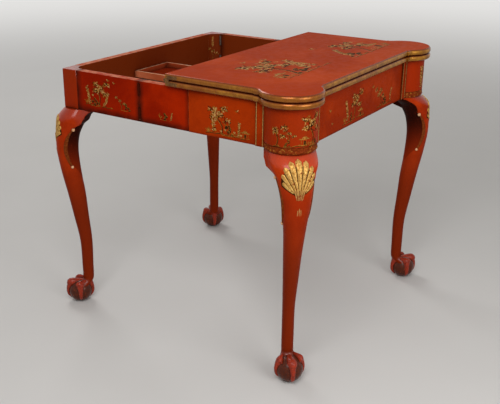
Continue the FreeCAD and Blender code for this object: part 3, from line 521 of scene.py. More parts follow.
# %% Finish: bare wood
def bare_wood_finish():
    material, tree, shader = new_finish("bare_wood")
    tone = place_effect(tree, "aged_tone", Drift_scale=10.0, Mottle_scale=90.0)
    corner = place_effect(tree, "corner_dirt")["Dirt"]
    place = tree.add("ShaderNodeTexCoord").outputs["Object"]
    stretch = tree.add("ShaderNodeMapping", inputs={"Vector": place, "Scale": (6.0, 60.0, 60.0)})
    rings = tree.add("ShaderNodeTexWave", wave_type="BANDS", bands_direction="Z", inputs={
        "Vector": stretch.outputs[0], "Scale": 0.6, "Distortion": 7.0, "Detail": 3.0})
    colour = tree.mix(rings.outputs["Fac"], rgb(126, 84, 50), rgb(94, 58, 32))
    colour = tree.mix(tree.sum("MULTIPLY", tone["Mottle"], 0.4), colour, rgb(78, 46, 26))
    # Dust and a painted shade darken the corners of the bare wood
    colour = tree.mix(tree.sum("MULTIPLY", corner, 0.7), colour, DARK_BROWN)
    tree.feed(shader.inputs["Base Color"], colour)
    tree.feed(shader.inputs["Roughness"], tree.fade(tone["Mottle"], 0.0, 1.0, 0.55, 0.8))
    bump = tree.add("ShaderNodeBump", inputs={
        "Strength": 0.3, "Distance": 0.0004, "Height": rings.outputs["Fac"]})
    tree.feed(shader.inputs["Normal"], bump.outputs[0])
    return material


bare_wood = bare_wood_finish()
print("bare wood ready")

# %% [markdown]
# The hinges on the top's ends are brass gone dull and brown, and those of the sides are wrought
# iron, nearly black, with a little rust. Both are metals, so their colour is in the reflection
# and the roughness carries the wear. They could be two materials drawn apart; one function
# serves both, because here they differ only in colour and roughness.

# %% Finish: brass and iron
def metal_finish(name, bright, dull, spot, rough):
    material, tree, shader = new_finish(name)
    tone = place_effect(tree, "aged_tone", Drift_scale=40.0, Mottle_scale=300.0)
    edges = place_effect(tree, "worn_edges", Radius=0.0008, Breaks=200.0)
    corner = place_effect(tree, "corner_dirt", Reach=0.006)["Dirt"]
    colour = tree.mix(tone["Mottle"], bright, dull)
    colour = tree.mix(tree.sum("MULTIPLY", tone["Drift"], 0.5), colour, spot)
    colour = tree.mix(tree.sum("MULTIPLY", edges["Wear"], 0.7), colour, bright)
    # Dust and a painted shade darken the metal in its corners
    colour = tree.mix(tree.sum("MULTIPLY", corner, 0.7), colour, DARK_BROWN)
    tree.feed(shader.inputs["Base Color"], colour)
    shader.inputs["Metallic"].default_value = 0.85
    tree.feed(shader.inputs["Roughness"], tree.fade(tone["Drift"], 0.0, 1.0, rough, rough + 0.25))
    bump = tree.add("ShaderNodeBump", inputs={
        "Strength": 0.25, "Distance": 0.0002, "Height": tone["Mottle"]})
    tree.feed(bump.inputs["Normal"], edges["Rounded"])
    tree.feed(shader.inputs["Normal"], bump.outputs[0])
    return material


brass = metal_finish("brass", rgb(150, 108, 62), rgb(98, 64, 38), rgb(70, 46, 32), 0.34)
iron = metal_finish("iron", rgb(120, 108, 98), rgb(66, 56, 50), rgb(92, 48, 28), 0.42)
print("metals ready")

# %% [markdown]
# The leaves are lined with green baize, a felted wool. Hairs would be the costly way to show its
# nap. From a step away two crossed waves give the weave, a fine noise gives the nap that hides
# most of it, and sheen adds the soft light at grazing angles.

# %% Finish: baize
def baize_finish():
    material, tree, shader = new_finish("baize")
    tone = place_effect(tree, "aged_tone", Drift_scale=8.0, Mottle_scale=500.0)
    place = tree.add("ShaderNodeTexCoord").outputs["Object"]
    threads = []
    for direction in ("X", "Y"):
        wave = tree.add("ShaderNodeTexWave", bands_direction=direction, inputs={
            "Vector": place, "Scale": 260.0, "Distortion": 1.2, "Detail": 1.0})
        threads.append(wave.outputs["Fac"])
    weave = tree.sum("MULTIPLY", *threads)
    colour = tree.mix(tone["Drift"], rgb(34, 68, 42), rgb(46, 74, 40))
    colour = tree.mix(tree.sum("MULTIPLY", tone["Mottle"], 0.5), colour, rgb(26, 50, 33))
    colour = tree.mix(tree.sum("MULTIPLY", weave, 0.35), colour, rgb(56, 88, 56))
    tree.feed(shader.inputs["Base Color"], colour)
    tree.feed(shader.inputs["Roughness"], tree.fade(tone["Mottle"], 0.0, 1.0, 0.85, 1.0))
    shader.inputs["Sheen Weight"].default_value = 0.12
    height = tree.sum("ADD", tree.sum("MULTIPLY", weave, 0.5), tone["Mottle"])
    bump = tree.add("ShaderNodeBump", inputs={"Strength": 0.4, "Distance": 0.0003, "Height": height})
    tree.feed(shader.inputs["Normal"], bump.outputs[0])
    return material


baize = baize_finish()
print("baize ready")

# %% [markdown]
# Each solid that stays as it is now takes its finish. They could be listed one by one, but their
# names say what they are, so a short list of endings is enough to sort them. The first ending
# that fits a name is taken.

# %% Dress the solids
FINISHES = (
    ("_leaf", leaf_lacquer), ("_middle_hinge_front_leaves", hinge_paint),
    ("_middle_hinge_rear_leaves", hinge_paint), ("_middle_hinge_pins", hinge_paint),
    ("_panel", panel_lacquer), ("tray_bearers", bare_wood),
    ("cross_rail", bare_wood), ("leaf_blocks", bare_wood), ("leaf_screws", iron),
    ("leaf_hinge_lower_plates", brass), ("leaf_hinge_upper_plates", brass),
    ("leaf_hinge_pins", brass), ("_hinge_front_leaves", iron), ("_hinge_rear_leaves", iron),
    ("_hinge_pins", iron), ("_wall", tray_lacquer), ("tray_bottom", tray_floor),
    ("_rail", rail_lacquer), ("corner_strips", rail_lacquer), ("_brackets", rail_lacquer),
    ("_blocks", rail_lacquer), ("_leg", leg_lacquer), ("_baize", baize))
for name, node in nodes.items():
    finish = next(material for ending, material in FINISHES if name.endswith(ending))
    node.data.materials.clear()
    node.data.materials.append(finish)
print(f"{len(nodes)} solids dressed")

# %% [markdown]
# A carver's lines are smooth, but they are written down as a few points. A curve object could
# join them, but a short formula is lighter and takes along whatever each point holds, such as
# the two radii of an oval. The line runs through every point, and its direction there comes
# from the points on both sides.

# %% A smooth line through points
def smooth_line(points, steps):
    """Points along a smooth curve through the given ones, whatever values each one holds."""
    line = []
    last = len(points) - 1
    for number in range(last):
        four = [points[min(max(number + step, 0), last)] for step in (-1, 0, 1, 2)]
        for step in range(steps):
            t = step / steps
            line.append(tuple(
                q + 0.5 * t * (r - p + t * (2 * p - 5 * q + 4 * r - s + t * (3 * (q - r) + s - p)))
                for p, q, r, s in zip(*four)))
    line.append(tuple(points[last]))
    return line


print("a line through 3 points in steps of 4 has", len(smooth_line([(0,), (1,), (3,)], 4)), "points")

# %% [markdown]
# A cabriole leg is carved from one post: it swells at the knee, sweeps in to the ankle and
# turns out again over the foot. The solids are lofts through the ovals listed here, and their
# own mesh could be kept. But the same ovals, joined by a smooth line, give the carved look
# close up, without the joints between the loft's straight stretches.

# %% Cabriole legs
LEFT, RIGHT = -1, 1
AT_FRONT, AT_REAR = -1, 1
SIDE_NAMES = {LEFT: "left", RIGHT: "right"}
END_NAMES = {AT_FRONT: "front", AT_REAR: "rear"}
# Places in plan are given for the right rear corner, and each leg turns them to its own corner
FOOT = {AT_FRONT: (349.5, 357.75), AT_REAR: (337.0, 357.75)}
TURRET = (311.0, 317.75)
POST = (317.0, 338.25)
# The oval under the head of a leg: place, height, half width and half depth
HEAD = {AT_FRONT: (*TURRET, RAIL_FOOT, 58.0, 58.0), AT_REAR: (*POST, RAIL_FOOT - 0.5, 40.0, 34.5)}
# Height, then out along the corner's diagonal from the foot, half width and half depth
BROW = {AT_FRONT: (560, -17.5, 54, 44), AT_REAR: (560, -14, 48, 41)}
SHANK = ((535, -4, 45.5, 37), (505, 4.5, 38.6, 31.8), (463.1, 8, 33, 29.3), (403.9, 2.5, 26.3, 27),
         (335.2, -8.5, 21.8, 24.6), (270, -16.5, 18.7, 21), (189, -26, 15.2, 17.2),
         (110, -26.2, 14.9, 15.8), (80, -26, 14.9, 15.6), (66, -24, 15.4, 15.8), (57, -13, 21, 21),
         (50, -3, 26, 26))
RINGS_PER_OVAL = 8
DIAGONAL = math.sqrt(0.5)


class Leg:
    """The smooth surface of one cabriole, at any angle round it and any height."""

    def __init__(self, side, end):
        self.side, self.end = side, end
        self.name = f"{END_NAMES[end]}_{SIDE_NAMES[side]}"
        self.body = f"{END_NAMES[end]}_frame"
        stations = [HEAD[end]]
        for height, out, wide, deep in (BROW[end],) + SHANK:
            x, y = (middle + out * DIAGONAL for middle in FOOT[end])
            stations.append((x, y, height, wide, deep))
        self.stations = smooth_line(stations, RINGS_PER_OVAL)

    def place(self, x, y, height):
        """A place at this leg's own corner, in metres."""
        return Vector((self.side * x, self.end * y, height)) * MM

    def around(self, station, angle):
        """A place on one oval, at an angle from the corner's diagonal."""
        x, y, height, wide, deep = station
        out = deep * math.cos(angle)
        across = wide * math.sin(angle)
        return self.place(x + (out - across) * DIAGONAL, y + (out + across) * DIAGONAL, height)

    def at(self, height):
        """The oval at any height."""
        for upper, lower in zip(self.stations, self.stations[1:]):
            if lower[2] <= height <= upper[2]:
                share = (upper[2] - height) / (upper[2] - lower[2])
                return tuple(a + (b - a) * share for a, b in zip(upper, lower))
        raise ValueError(height)

    def middle(self, height):
        return self.place(*self.at(height)[:2], height)

    def point(self, angle, height, lift=0.0):
        """A place on the leg, lifted off its surface."""
        here = self.around(self.at(height), angle)
        along = self.around(self.at(height - 1.0), angle) - here
        round_it = self.around(self.at(height), angle + 0.02) - here
        normal = along.cross(round_it).normalized()
        if normal.dot(here - self.middle(height)) < 0:
            normal.negate()
        return here + normal * lift * MM


LEGS = {(side, end): Leg(side, end) for side in SIDE_NAMES for end in FOOT}
print("leg surfaces ready,", len(LEGS[LEFT, AT_FRONT].stations), "rings each")

# %% [markdown]
# Turned and carved forms are drawn as rings of points, stacked along the form, with faces
# between each ring and the next. Ready-made spheres and cylinders would have to be cut and
# joined; rings can follow any profile, and a skin over them needs only one function.

# %% Rings and the skin over them
def full_turn(sides):
    """Angles all the way round, in even steps."""
    return [2 * math.pi * step / sides for step in range(sides)]


def level_ring(leg, middle, radius, height, sides):
    """A level circle of points at one leg's corner."""
    x, y = middle
    return [leg.place(x + radius * math.cos(turn), y + radius * math.sin(turn), height)
            for turn in full_turn(sides)]


def skin(drawn, rings, close_start=True, close_end=True, paint_number=0):
    """Faces between rings of points, each joined to the next."""
    corners = [[drawn.verts.new(point) for point in ring] for ring in rings]
    faces = []
    count = len(corners[0])
    for lower, upper in zip(corners, corners[1:]):
        for number in range(count):
            after = (number + 1) % count
            faces.append(drawn.faces.new((lower[number], lower[after], upper[after], upper[number])))
    if close_start:
        faces.append(drawn.faces.new(reversed(corners[0])))
    if close_end:
        faces.append(drawn.faces.new(corners[-1]))
    for face in faces:
        face.material_index = paint_number
    return faces


print("rings ready")

# %% [markdown]
# Each foot is a claw that grips a ball. The ball is turned and painted dark; four toes come
# down from the ankle and bend over it, thick at the knuckles and drawn to a talon. They could
# be sculpted by hand. A line of points with a radius each, bent round the ball, draws the same
# toe in a few numbers, and all sixteen toes follow them.

# %% Claw and ball feet
BALL_RADIUS = 33.5
BALL_MIDDLE = 31.48
BALL_LEVELS = (-70, -66, *range(-60, 81, 10), 87)
ANKLE_BACK = 26.7
LEAST_HEIGHT = 0.4
TOE_STEPS = 5
# A toe's root by height, reach and radius, then its bends by degrees up the ball and radius
TOE = ((57, 9, 7.0), (50, 12.2), (38, 10.4), (25, 7.8), (10, 6.4), (-6, 5.6), (-22, 4.8), (-44, 1.8))


def toe_rings(leg, turn, stand, sides=14):
    """Rings along one toe. Turn is its way round the foot, from the corner's diagonal."""
    x, y = FOOT[leg.end]
    way = Vector((math.cos(turn + math.pi / 4), math.sin(turn + math.pi / 4), 0))
    across = Vector((-way.y, way.x, 0))
    root_height, root_reach, root_radius = TOE[0]
    root = Vector((x - ANKLE_BACK * DIAGONAL, y - ANKLE_BACK * DIAGONAL, 0)) + way * root_reach
    line = [(root.x, root.y, root_height, root_radius)]
    for degrees, radius in TOE[1:]:
        angle = math.radians(degrees)
        spot = Vector((x, y, 0)) + way * stand * math.cos(angle)
        line.append((spot.x, spot.y, BALL_MIDDLE + stand * math.sin(angle), radius))
    line = smooth_line(line, TOE_STEPS)
    rings = []
    for number, (px, py, pz, radius) in enumerate(line):
        before, after = line[max(number - 1, 0)], line[min(number + 1, len(line) - 1)]
        along = Vector([b - a for a, b in zip(before[:3], after[:3])]).normalized()
        lifted = across.cross(along).normalized()
        ring = []
        for angle in full_turn(sides):
            spot = Vector((px, py, pz)) + (across * math.cos(angle) + lifted * math.sin(angle)) * radius
            ring.append(leg.place(spot.x, spot.y, max(spot.z, LEAST_HEIGHT)))
        rings.append(ring)
    return rings


def ball_rings(leg, sides=36):
    """Level rings up the ball, which is cut flat where it stands on the floor."""
    rings = []
    for degrees in BALL_LEVELS:
        angle = math.radians(degrees)
        height = max(BALL_MIDDLE + BALL_RADIUS * math.sin(angle), 0.0)
        rings.append(level_ring(leg, FOOT[leg.end], BALL_RADIUS * math.cos(angle), height, sides))
    return rings


sample_toe = toe_rings(LEGS[LEFT, AT_FRONT], 0, BALL_RADIUS)
print("a ball has", len(BALL_LEVELS), "rings, a toe", len(sample_toe))

# %% [markdown]
# The front legs end in round turrets at the corners of the frame, with small mouldings at the
# foot of each, and the rear legs in square posts with a hollowed inner corner. A turret could
# be a cylinder with trim added; a profile of radius and height draws its mouldings at once. A
# post is drawn in plan, and rings of that plan are stacked with their corners eased.

# %% Heads of the legs
TURRET_RADIUS = 61.0
# Radius and height, from the top of the rail down through the mouldings
TURRET_PROFILE = ((TURRET_RADIUS, RAIL_TOP), (TURRET_RADIUS, 601), (60.2, 600.4), (60.2, 598.8),
                  (61.2, 598.2), (61.6, 595), (61.2, 592.4), (61.8, 591.2), (62.6, 588.6), (62, 586),
                  (60, 584), (57.5, 583.2), (50, 582.5))
HOLLOW, HOLLOW_RADIUS, HOLLOW_STEPS = (292.0, REAR_HINGE), 28.0, 10
HINGE_GAP = 0.4
POST_ROUND, ROUND_MIDDLE = 2.0, 0.6
# How far a post's outer faces draw in, and the height
POST_LEVELS = ((1.2, 687.5), (0, 686.3), (0, 584), (1.2, 582.6))
# Places in plan beyond which a corner of the post draws in
HOLLOW_SIDE, OUTER_SIDE, REAR_SIDE = 300, 335, 350


def turret_rings(leg, sides=72):
    return [level_ring(leg, TURRET, radius, height, sides) for radius, height in TURRET_PROFILE]


def post_plan():
    """A post seen from above, from its hinge face round by the outer corner to the hollow."""
    x, y = HOLLOW
    front = y + HINGE_GAP
    turns = [math.pi / 2 * step / HOLLOW_STEPS for step in range(HOLLOW_STEPS)]
    arc = [(x + HOLLOW_RADIUS * math.sin(turn), y + HOLLOW_RADIUS * math.cos(turn)) for turn in turns]
    return [(x + HOLLOW_RADIUS, front), (SIDE_FACE - 1, front), (SIDE_FACE, front + 1),
            (SIDE_FACE, REAR_FACE - POST_ROUND), (SIDE_FACE - ROUND_MIDDLE, REAR_FACE - ROUND_MIDDLE),
            (SIDE_FACE - POST_ROUND, REAR_FACE), (x, REAR_FACE)] + arc


def post_rings(leg):
    rings = []
    for inset, height in POST_LEVELS:
        ring = []
        for x, y in post_plan():
            near_hollow, outer, rear = x < HOLLOW_SIDE, x > OUTER_SIDE, y > REAR_SIDE
            ring.append(leg.place(x + inset * (near_hollow - outer), y - inset * rear, height))
        rings.append(ring)
    return rings


print("a turret has", len(TURRET_PROFILE), "rings, a post", len(post_plan()), "corners")

# %% [markdown]
# A new piece is drawn as a bmesh and then handed over. It could be set up line by line each
# time, but every piece needs the same steps, and a forgotten one would leave it behind when the
# table folds. So one function makes the object, lets it ride on its body, gives it its finishes
# and hides the solids that it stands for.

# %% Hand a piece over
def hand_over(drawn, name, body, finishes, stands_for=(), smooth=True):
    mesh = bpy.data.meshes.new(name)
    drawn.to_mesh(mesh)
    drawn.free()
    for polygon in mesh.polygons:
        polygon.use_smooth = smooth
    for finish in finishes:
        mesh.materials.append(finish)
    made = bpy.data.objects.new(name, mesh)
    scene.collection.objects.link(made)
    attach(made, body)
    if stands_for:
        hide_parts(*stands_for)
    return made


print("ready to hand pieces over")

# %% [markdown]
# The head, the cabriole and the foot of a leg are one carved piece on the real table, so they go
# into one object. A boolean could weld them, but their skins already run into each other where
# nobody sees, so the four forms are only put together.

# %% Put the legs together
LACQUER, BALL, CLAW, MOULDING = range(4)
LEG_SIDES = 44
MOULDINGS_TOP = 600.6
CREASE = math.radians(38)
# The toes on the diagonal stand further out on the ball than the two across it
TOE_STAND = (BALL_RADIUS + 1.0, BALL_RADIUS - 0.5)
for leg in LEGS.values():
    drawn = bmesh.new()
    turreted = leg.end == AT_FRONT
    head = skin(drawn, turret_rings(leg) if turreted else post_rings(leg), paint_number=LACQUER)
    for face in head:
        if turreted and face.calc_center_median().z < MOULDINGS_TOP * MM:
            face.material_index = MOULDING
    turns = full_turn(LEG_SIDES)
    skin(drawn, [[leg.around(station, turn) for turn in turns] for station in leg.stations])
    skin(drawn, ball_rings(leg), paint_number=BALL)
    for number in range(4):
        toe = toe_rings(leg, number * math.pi / 2, TOE_STAND[number % 2])
        skin(drawn, toe, paint_number=CLAW)
    bmesh.ops.recalc_face_normals(drawn, faces=drawn.faces)
    name = f"{leg.name}_leg"
    made = hand_over(drawn, f"carved_{name}", leg.body,
                     (leg_lacquer, ball_paint, claw_paint, base_paint),
                     stands_for=(name,) if turreted else (name, "rear_knee_blocks"))
    for polygon in made.data.polygons:
        polygon.use_smooth = len(polygon.vertices) == 4
    made.data.set_sharp_from_angle(angle=CREASE)
print(len(LEGS), "legs carved")

# %% [markdown]
# The carving on a knee follows its round. It could be modelled flat and bent by modifiers. Here
# it is drawn on the knee's own surface: a place is given by how far round the leg it lies, in
# millimetres from the corner's diagonal, and how high, and it is lifted as far as the carving
# stands proud. So the same shell fits every knee.

# %% Places on the knee
HALF_TURN_STEPS = 60


def measure_round(leg, height):
    """Distance round the leg from the corner's diagonal, for a run of angles."""
    rows = [(0.0, 0.0)]
    for step in range(1, HALF_TURN_STEPS + 1):
        angle = step * math.pi / HALF_TURN_STEPS
        spot = leg.around(leg.at(height), angle)
        last = leg.around(leg.at(height), rows[-1][0])
        rows.append((angle, rows[-1][1] + (spot - last).length / MM))
    return rows


measured = {}


def on_leg(leg, across, height, lift):
    """A place on a leg from a distance round it in mm, a height, and a lift off the surface."""
    key = (leg.name, round(height))
    if key not in measured:
        measured[key] = measure_round(leg, height)
    rows = measured[key]
    for (angle, start), (after, stop) in zip(rows, rows[1:]):
        if abs(across) <= stop:
            break
    share = min((abs(across) - start) / (stop - start), 1.0)
    turn = math.copysign(angle + (after - angle) * share, across)
    return leg.point(turn, height, lift)


def patch(drawn, rows, leg, paint_number=0):
    """Faces between rows of points that aren't closed, all looking away from the leg's middle."""
    corners = [[drawn.verts.new(point) for point in row] for row in rows]
    for lower, upper in zip(corners, corners[1:]):
        for number in range(len(lower) - 1):
            face = drawn.faces.new((lower[number], lower[number + 1], upper[number + 1], upper[number]))
            face.material_index = paint_number
            face.normal_update()
            spot = face.calc_center_median()
            if face.normal.dot(spot - leg.middle(spot.z / MM)) < 0:
                face.normal_flip()


print("half round a front knee is", round(measure_round(LEGS[LEFT, AT_FRONT], 520)[-1][1]), "mm")

# %% [markdown]
# Each knee carries a carved and gilded shell, with a small husk below it. Displacement could
# raise it out of the leg, but its ribs need crisp edges. So nine ribs fan out from a narrow root
# over a dark ground. Each is a patch of its own, a long drop that is raised along its middle and
# rounded at its tip.

# %% Ribs of a shell
GOLD, DARK, PALE = 0, 1, 2
SHELL_ROOT = 500
SHELL_RIBS = 9
FAN = math.radians(57)
LONG_RIB, SHORTER_AT_SIDES = 77, 28
SHELL_SIZE = {AT_FRONT: 1.0, AT_REAR: 0.84}
TIP_START = 0.86
SUNK = 0.3


def shell_reach(leg, share):
    """Length of a rib, from the middle one at 0 to the outer ones at 1 and -1."""
    return (LONG_RIB - SHORTER_AT_SIDES * share * share) * SHELL_SIZE[leg.end]


def rib(drawn, leg, start, stop, widths, relief, paint_number=GOLD, rows=16, columns=8):
    """A raised drop from one place to another; start and stop are across and height."""
    along = Vector((stop[0] - start[0], stop[1] - start[1]))
    side = Vector((-along.y, along.x)).normalized()
    grid = []
    for row in range(rows + 1):
        share = row / rows
        width = widths[0] + (widths[1] - widths[0]) * share
        past_tip = (share - TIP_START) / (1 - TIP_START)
        rounded = math.sqrt(1 - min(max(past_tip, 0), 0.999) ** 2)
        line = []
        for column in range(columns + 1):
            across = 2 * column / columns - 1
            spot = Vector(start) + along * share + side * across * width * rounded / 2
            crown = math.sqrt(1 - across * across)
            lift = relief * (0.3 + 0.7 * share) * crown * rounded - SUNK
            line.append(on_leg(leg, spot.x, spot.y, lift))
        grid.append(line)
    patch(drawn, grid, leg, paint_number)


print("ribs from", shell_reach(LEGS[LEFT, AT_FRONT], 1), "to", LONG_RIB, "mm long")

# %% [markdown]
# A whole shell has its ground, its nine ribs, five short pale leaves over the root and a husk of
# three below. It could be drawn once and copied, but the front and rear knees differ in size and
# the left and right ones are mirrored, so each is drawn on its own leg.

# %% Gilt shells and husks
RIB_SPREAD = 9
RIB_FOOT_WIDTH, RIB_TIP_WIDTH, NARROWER_AT_SIDES = 2.6, 18.5, 6
RIB_RELIEF, FLATTER_AT_SIDES = 3.2, 1.5
# The ground starts below the ribs' feet and ends short of their tips, a little wider than the fan
GROUND_DROP, GROUND_START, GROUND_REACH = 4, 6, 0.8
GROUND_WIDER, GROUND_SPREAD, GROUND_LIFT = 0.08, 4, 0.4
ROOT_LEAVES, ROOT_LEAF_FOOT, ROOT_LEAF_TIP = 5, 488, 513
HUSK_FOOT = 450
HUSK_LEAVES = ((-4.2, 15), (0, 20), (4.2, 15))


def fan_ground(drawn, leg, rows=12, columns=28):
    """The dark ground under the ribs, which shows as thin lines between them."""
    grid = []
    for row in range(rows + 1):
        line = []
        for column in range(columns + 1):
            share = 2 * column / columns - 1
            reach = GROUND_START + shell_reach(leg, share) * GROUND_REACH * row / rows
            angle = (FAN + GROUND_WIDER) * share
            across = reach * math.sin(angle) + share * GROUND_SPREAD
            height = SHELL_ROOT - GROUND_DROP + reach * math.cos(angle)
            line.append(on_leg(leg, across, height, GROUND_LIFT))
        grid.append(line)
    patch(drawn, grid, leg, DARK)


def shell(leg):
    drawn = bmesh.new()
    fan_ground(drawn, leg)
    for number in range(SHELL_RIBS):
        share = 2 * number / (SHELL_RIBS - 1) - 1
        reach = shell_reach(leg, share)
        tip = (reach * math.sin(FAN * share), SHELL_ROOT + reach * math.cos(FAN * share))
        widths = (RIB_FOOT_WIDTH, RIB_TIP_WIDTH - NARROWER_AT_SIDES * abs(share))
        relief = RIB_RELIEF - FLATTER_AT_SIDES * share * share
        rib(drawn, leg, (share * RIB_SPREAD, SHELL_ROOT), tip, widths, relief)
    for number in range(ROOT_LEAVES):
        share = 2 * number / (ROOT_LEAVES - 1) - 1
        rib(drawn, leg, (share * 6, ROOT_LEAF_FOOT), (share * 12, ROOT_LEAF_TIP), (1.6, 4.2), 3.4,
            PALE, rows=10, columns=6)
    for offset, length in HUSK_LEAVES:
        rib(drawn, leg, (offset, HUSK_FOOT), (offset * 0.8, HUSK_FOOT + length), (1.2, 2.6), 1.2,
            PALE, rows=10, columns=6)
    return drawn


for leg in LEGS.values():
    hand_over(shell(leg), f"{leg.name}_shell", leg.body, (gilt, ink, cream))
print(len(LEGS), "shells gilded")

# %% [markdown]
# On both sides the knee runs on into an ear under the rail. Its face flows from the round of
# the knee to the face of the frame, its edge is cut in scallops, and behind that edge it is cut
# square. It could be a flat bracket glued on, as the solid is; the carved one is worked out level
# by level. First comes its edge, from the pearl on the knee up to the rail.

# %% Edge of an ear
CORNER = {AT_FRONT: (SIDE_FACE, FRONT_FACE), AT_REAR: (SIDE_FACE, REAR_FACE)}
EAR_FOOT, EAR_TOP = 529.0, 582.2
PEARL_DEGREES = 103
PEARL_ANGLE = math.radians(PEARL_DEGREES)
INNER_ANGLE = math.radians(150)
ALONG_RAIL, ALONG_SIDE = 1, -1
# How far an ear runs from the corner at each drop below the rail
EAR_RUN = {(AT_FRONT, ALONG_RAIL): ((0, 86), (6, 72), (12, 61), (20, 52), (35, 42), (54, 35)),
           (AT_FRONT, ALONG_SIDE): ((0, 81), (12, 77), (23, 72), (36, 65), (48, 52), (54, 46)),
           (AT_REAR, ALONG_RAIL): ((0, 92), (7, 86), (15, 80), (30, 72), (46, 58), (58, 48)),
           (AT_REAR, ALONG_SIDE): ((0, 92), (7, 87), (15, 80), (30, 75), (46, 60), (58, 50))}
EAR_THICK = 25
EAR_FLARE = 24
EAR_SCALLOPS, EAR_SCALLOP = 3, {AT_FRONT: 1.2, AT_REAR: 2.5}
ON_KNEE = 0.4


def ear_run(leg, way, below):
    rows = EAR_RUN[leg.end, way]
    for (start, run), (stop, after) in zip(rows, rows[1:]):
        if below <= stop:
            return run + (after - run) * (below - start) / (stop - start)
    return rows[-1][1]


def ear_edge(leg, way, share):
    """The ear's scalloped edge and the back of its thickness, from the pearl at 0 to the rail at 1."""
    height = EAR_FOOT + (EAR_TOP - EAR_FOOT) * share
    run = ear_run(leg, way, RAIL_FOOT - height)
    x, y = CORNER[leg.end]

    def under_rail(short, inset):
        spot = (x - run + short, y - inset) if way == ALONG_RAIL else (x - inset, y - run + short)
        return leg.place(*spot, height)

    blend = min(share / ON_KNEE, 1.0)
    blend = blend * blend * (3 - 2 * blend)
    flare = EAR_FLARE * (1 - share) ** 0.6
    scallop = EAR_SCALLOP[leg.end] * abs(math.sin(EAR_SCALLOPS * math.pi * share))
    edge = leg.point(way * PEARL_ANGLE, height, 0.3).lerp(under_rail(scallop, 1 - flare), blend)
    behind = under_rail(1 + 0.6 * flare, EAR_THICK)
    inner = leg.point(way * INNER_ANGLE, height, 0.3).lerp(behind, blend)
    return edge, inner, blend


print("an ear rises", round(EAR_TOP - EAR_FOOT, 1), "mm")

# %% [markdown]
# Each level of the ear's face is one smooth curve from the knee to that edge. Stacked up, the
# curves make the face, and lines straight in from the edge make the thickness, which is painted
# nearly black: partly dark paint and partly a painted shade of the hollow under the rail. A
# subdivision surface would be the usual way to so soft a form, but it would pull the scallops
# smooth; these curves keep them, and a thin bead finishes the edge.

# %% Ears of the knees
FACE, BACK = range(2)
EAR_START = {AT_FRONT: math.radians(60), AT_REAR: math.radians(88)}
EAR_STRAIGHT = {AT_FRONT: 0.8, AT_REAR: 0.2}
BEHIND_ANGLE = math.radians(172)
NUDGE = 0.06
HANDLE = 0.36


def tube_through(drawn, spots, radius, paint_number, sides=8):
    """A round bead through places in metres."""
    rings = []
    for number, spot in enumerate(spots):
        along = (spots[min(number + 1, len(spots) - 1)] - spots[max(number - 1, 0)]).normalized()
        aside = along.orthogonal().normalized()
        up = aside.cross(along)
        rings.append([spot + (aside * math.cos(turn) + up * math.sin(turn)) * radius * MM
                      for turn in full_turn(sides)])
    bmesh.ops.recalc_face_normals(drawn, faces=skin(drawn, rings, paint_number=paint_number))


def ear(drawn, leg, way, rows=36, columns=14):
    face, back = [], []
    along_rail = Vector((-leg.side, 0, 0)) if way == ALONG_RAIL else Vector((0, -leg.end, 0))
    for row in range(rows + 1):
        share = row / rows
        edge, inner, blend = ear_edge(leg, way, share)
        height = EAR_FOOT + (EAR_TOP - EAR_FOOT) * share
        start_angle = way * EAR_START[leg.end]
        start = leg.point(start_angle, height, -0.4)
        leaving = (leg.point(start_angle + way * NUDGE, height, 0.2) - start).normalized()
        on_knee = leg.point(way * PEARL_ANGLE, height) - leg.point(way * (PEARL_ANGLE - NUDGE), height)
        sweep = along_rail.lerp((edge - start).normalized(), EAR_STRAIGHT[leg.end])
        arriving = on_knee.normalized().lerp(sweep, blend).normalized()
        reach = (edge - start).length * HANDLE
        points = (start, start + leaving * reach, edge - arriving * reach, edge)
        line = []
        for column in range(columns + 1):
            t = column / columns
            weights = ((1 - t) ** 3, 3 * t * (1 - t) ** 2, 3 * t * t * (1 - t), t ** 3)
            line.append(sum((point * weight for point, weight in zip(points, weights)), Vector()))
        face.append(line)
        behind = leg.point(way * BEHIND_ANGLE, height, -1.0)
        back.append([edge.lerp(inner, step / 4) for step in range(5)]
                    + [inner.lerp(behind, step / 4) for step in range(1, 5)])
    patch(drawn, face, leg, FACE)
    patch(drawn, back, leg, BACK)
    tube_through(drawn, [line[-1] for line in face], 1.0, FACE)


for end, end_name in END_NAMES.items():
    drawn = bmesh.new()
    for side in SIDE_NAMES:
        for way in (ALONG_RAIL, ALONG_SIDE):
            ear(drawn, LEGS[side, end], way)
    node = f"{end_name}_knee_brackets"
    hand_over(drawn, f"carved_{node}", f"{end_name}_frame", (leg_lacquer, knee_black),
              stands_for=(node,))
print(2 * len(LEGS), "ears carved")

# %% [markdown]
# Below each ear a C-scroll runs down the side of the knee: a broad flat bead with a pearl at both
# ends. The leg behind the two scrolls is painted dark, so the knee stands out like a mask; this is
# partly dark paint and partly painted shade on the back of the leg, which fades into the red lower
# down. The bead could be a bevelled curve, but that would be round and cut into the leg; a patch
# lifted off the knee's own surface lies on it everywhere. The dark paint is a thin patch as well,
# which shares the scroll's line.

# %% C-scrolls and the dark backs of the knees
BEAD, SHADE, PEARL = range(3)
SCROLL_TOP, SCROLL_FOOT = EAR_FOOT, 421.0
BACK_FOOT, BACK_TOP, BACK_EDGE = 384.0, 580.0, 106
SCROLL_BOW, BACK_SPREAD = 23, 62
# Half width of a scroll at its ends and how much it swells, then its relief and how deep it is set
SCROLL_HALF, SCROLL_SWELL, SCROLL_RELIEF, SCROLL_SUNK = 3.0, 3.2, 2.6, 0.2
# Height, lift and radius of the pearls at both ends
PEARLS = ((SCROLL_TOP + 1, 1.5, 4.6), (SCROLL_FOOT - 1, 1.0, 4.0))
BACK_ROWS, BACK_COLUMNS = 60, 24


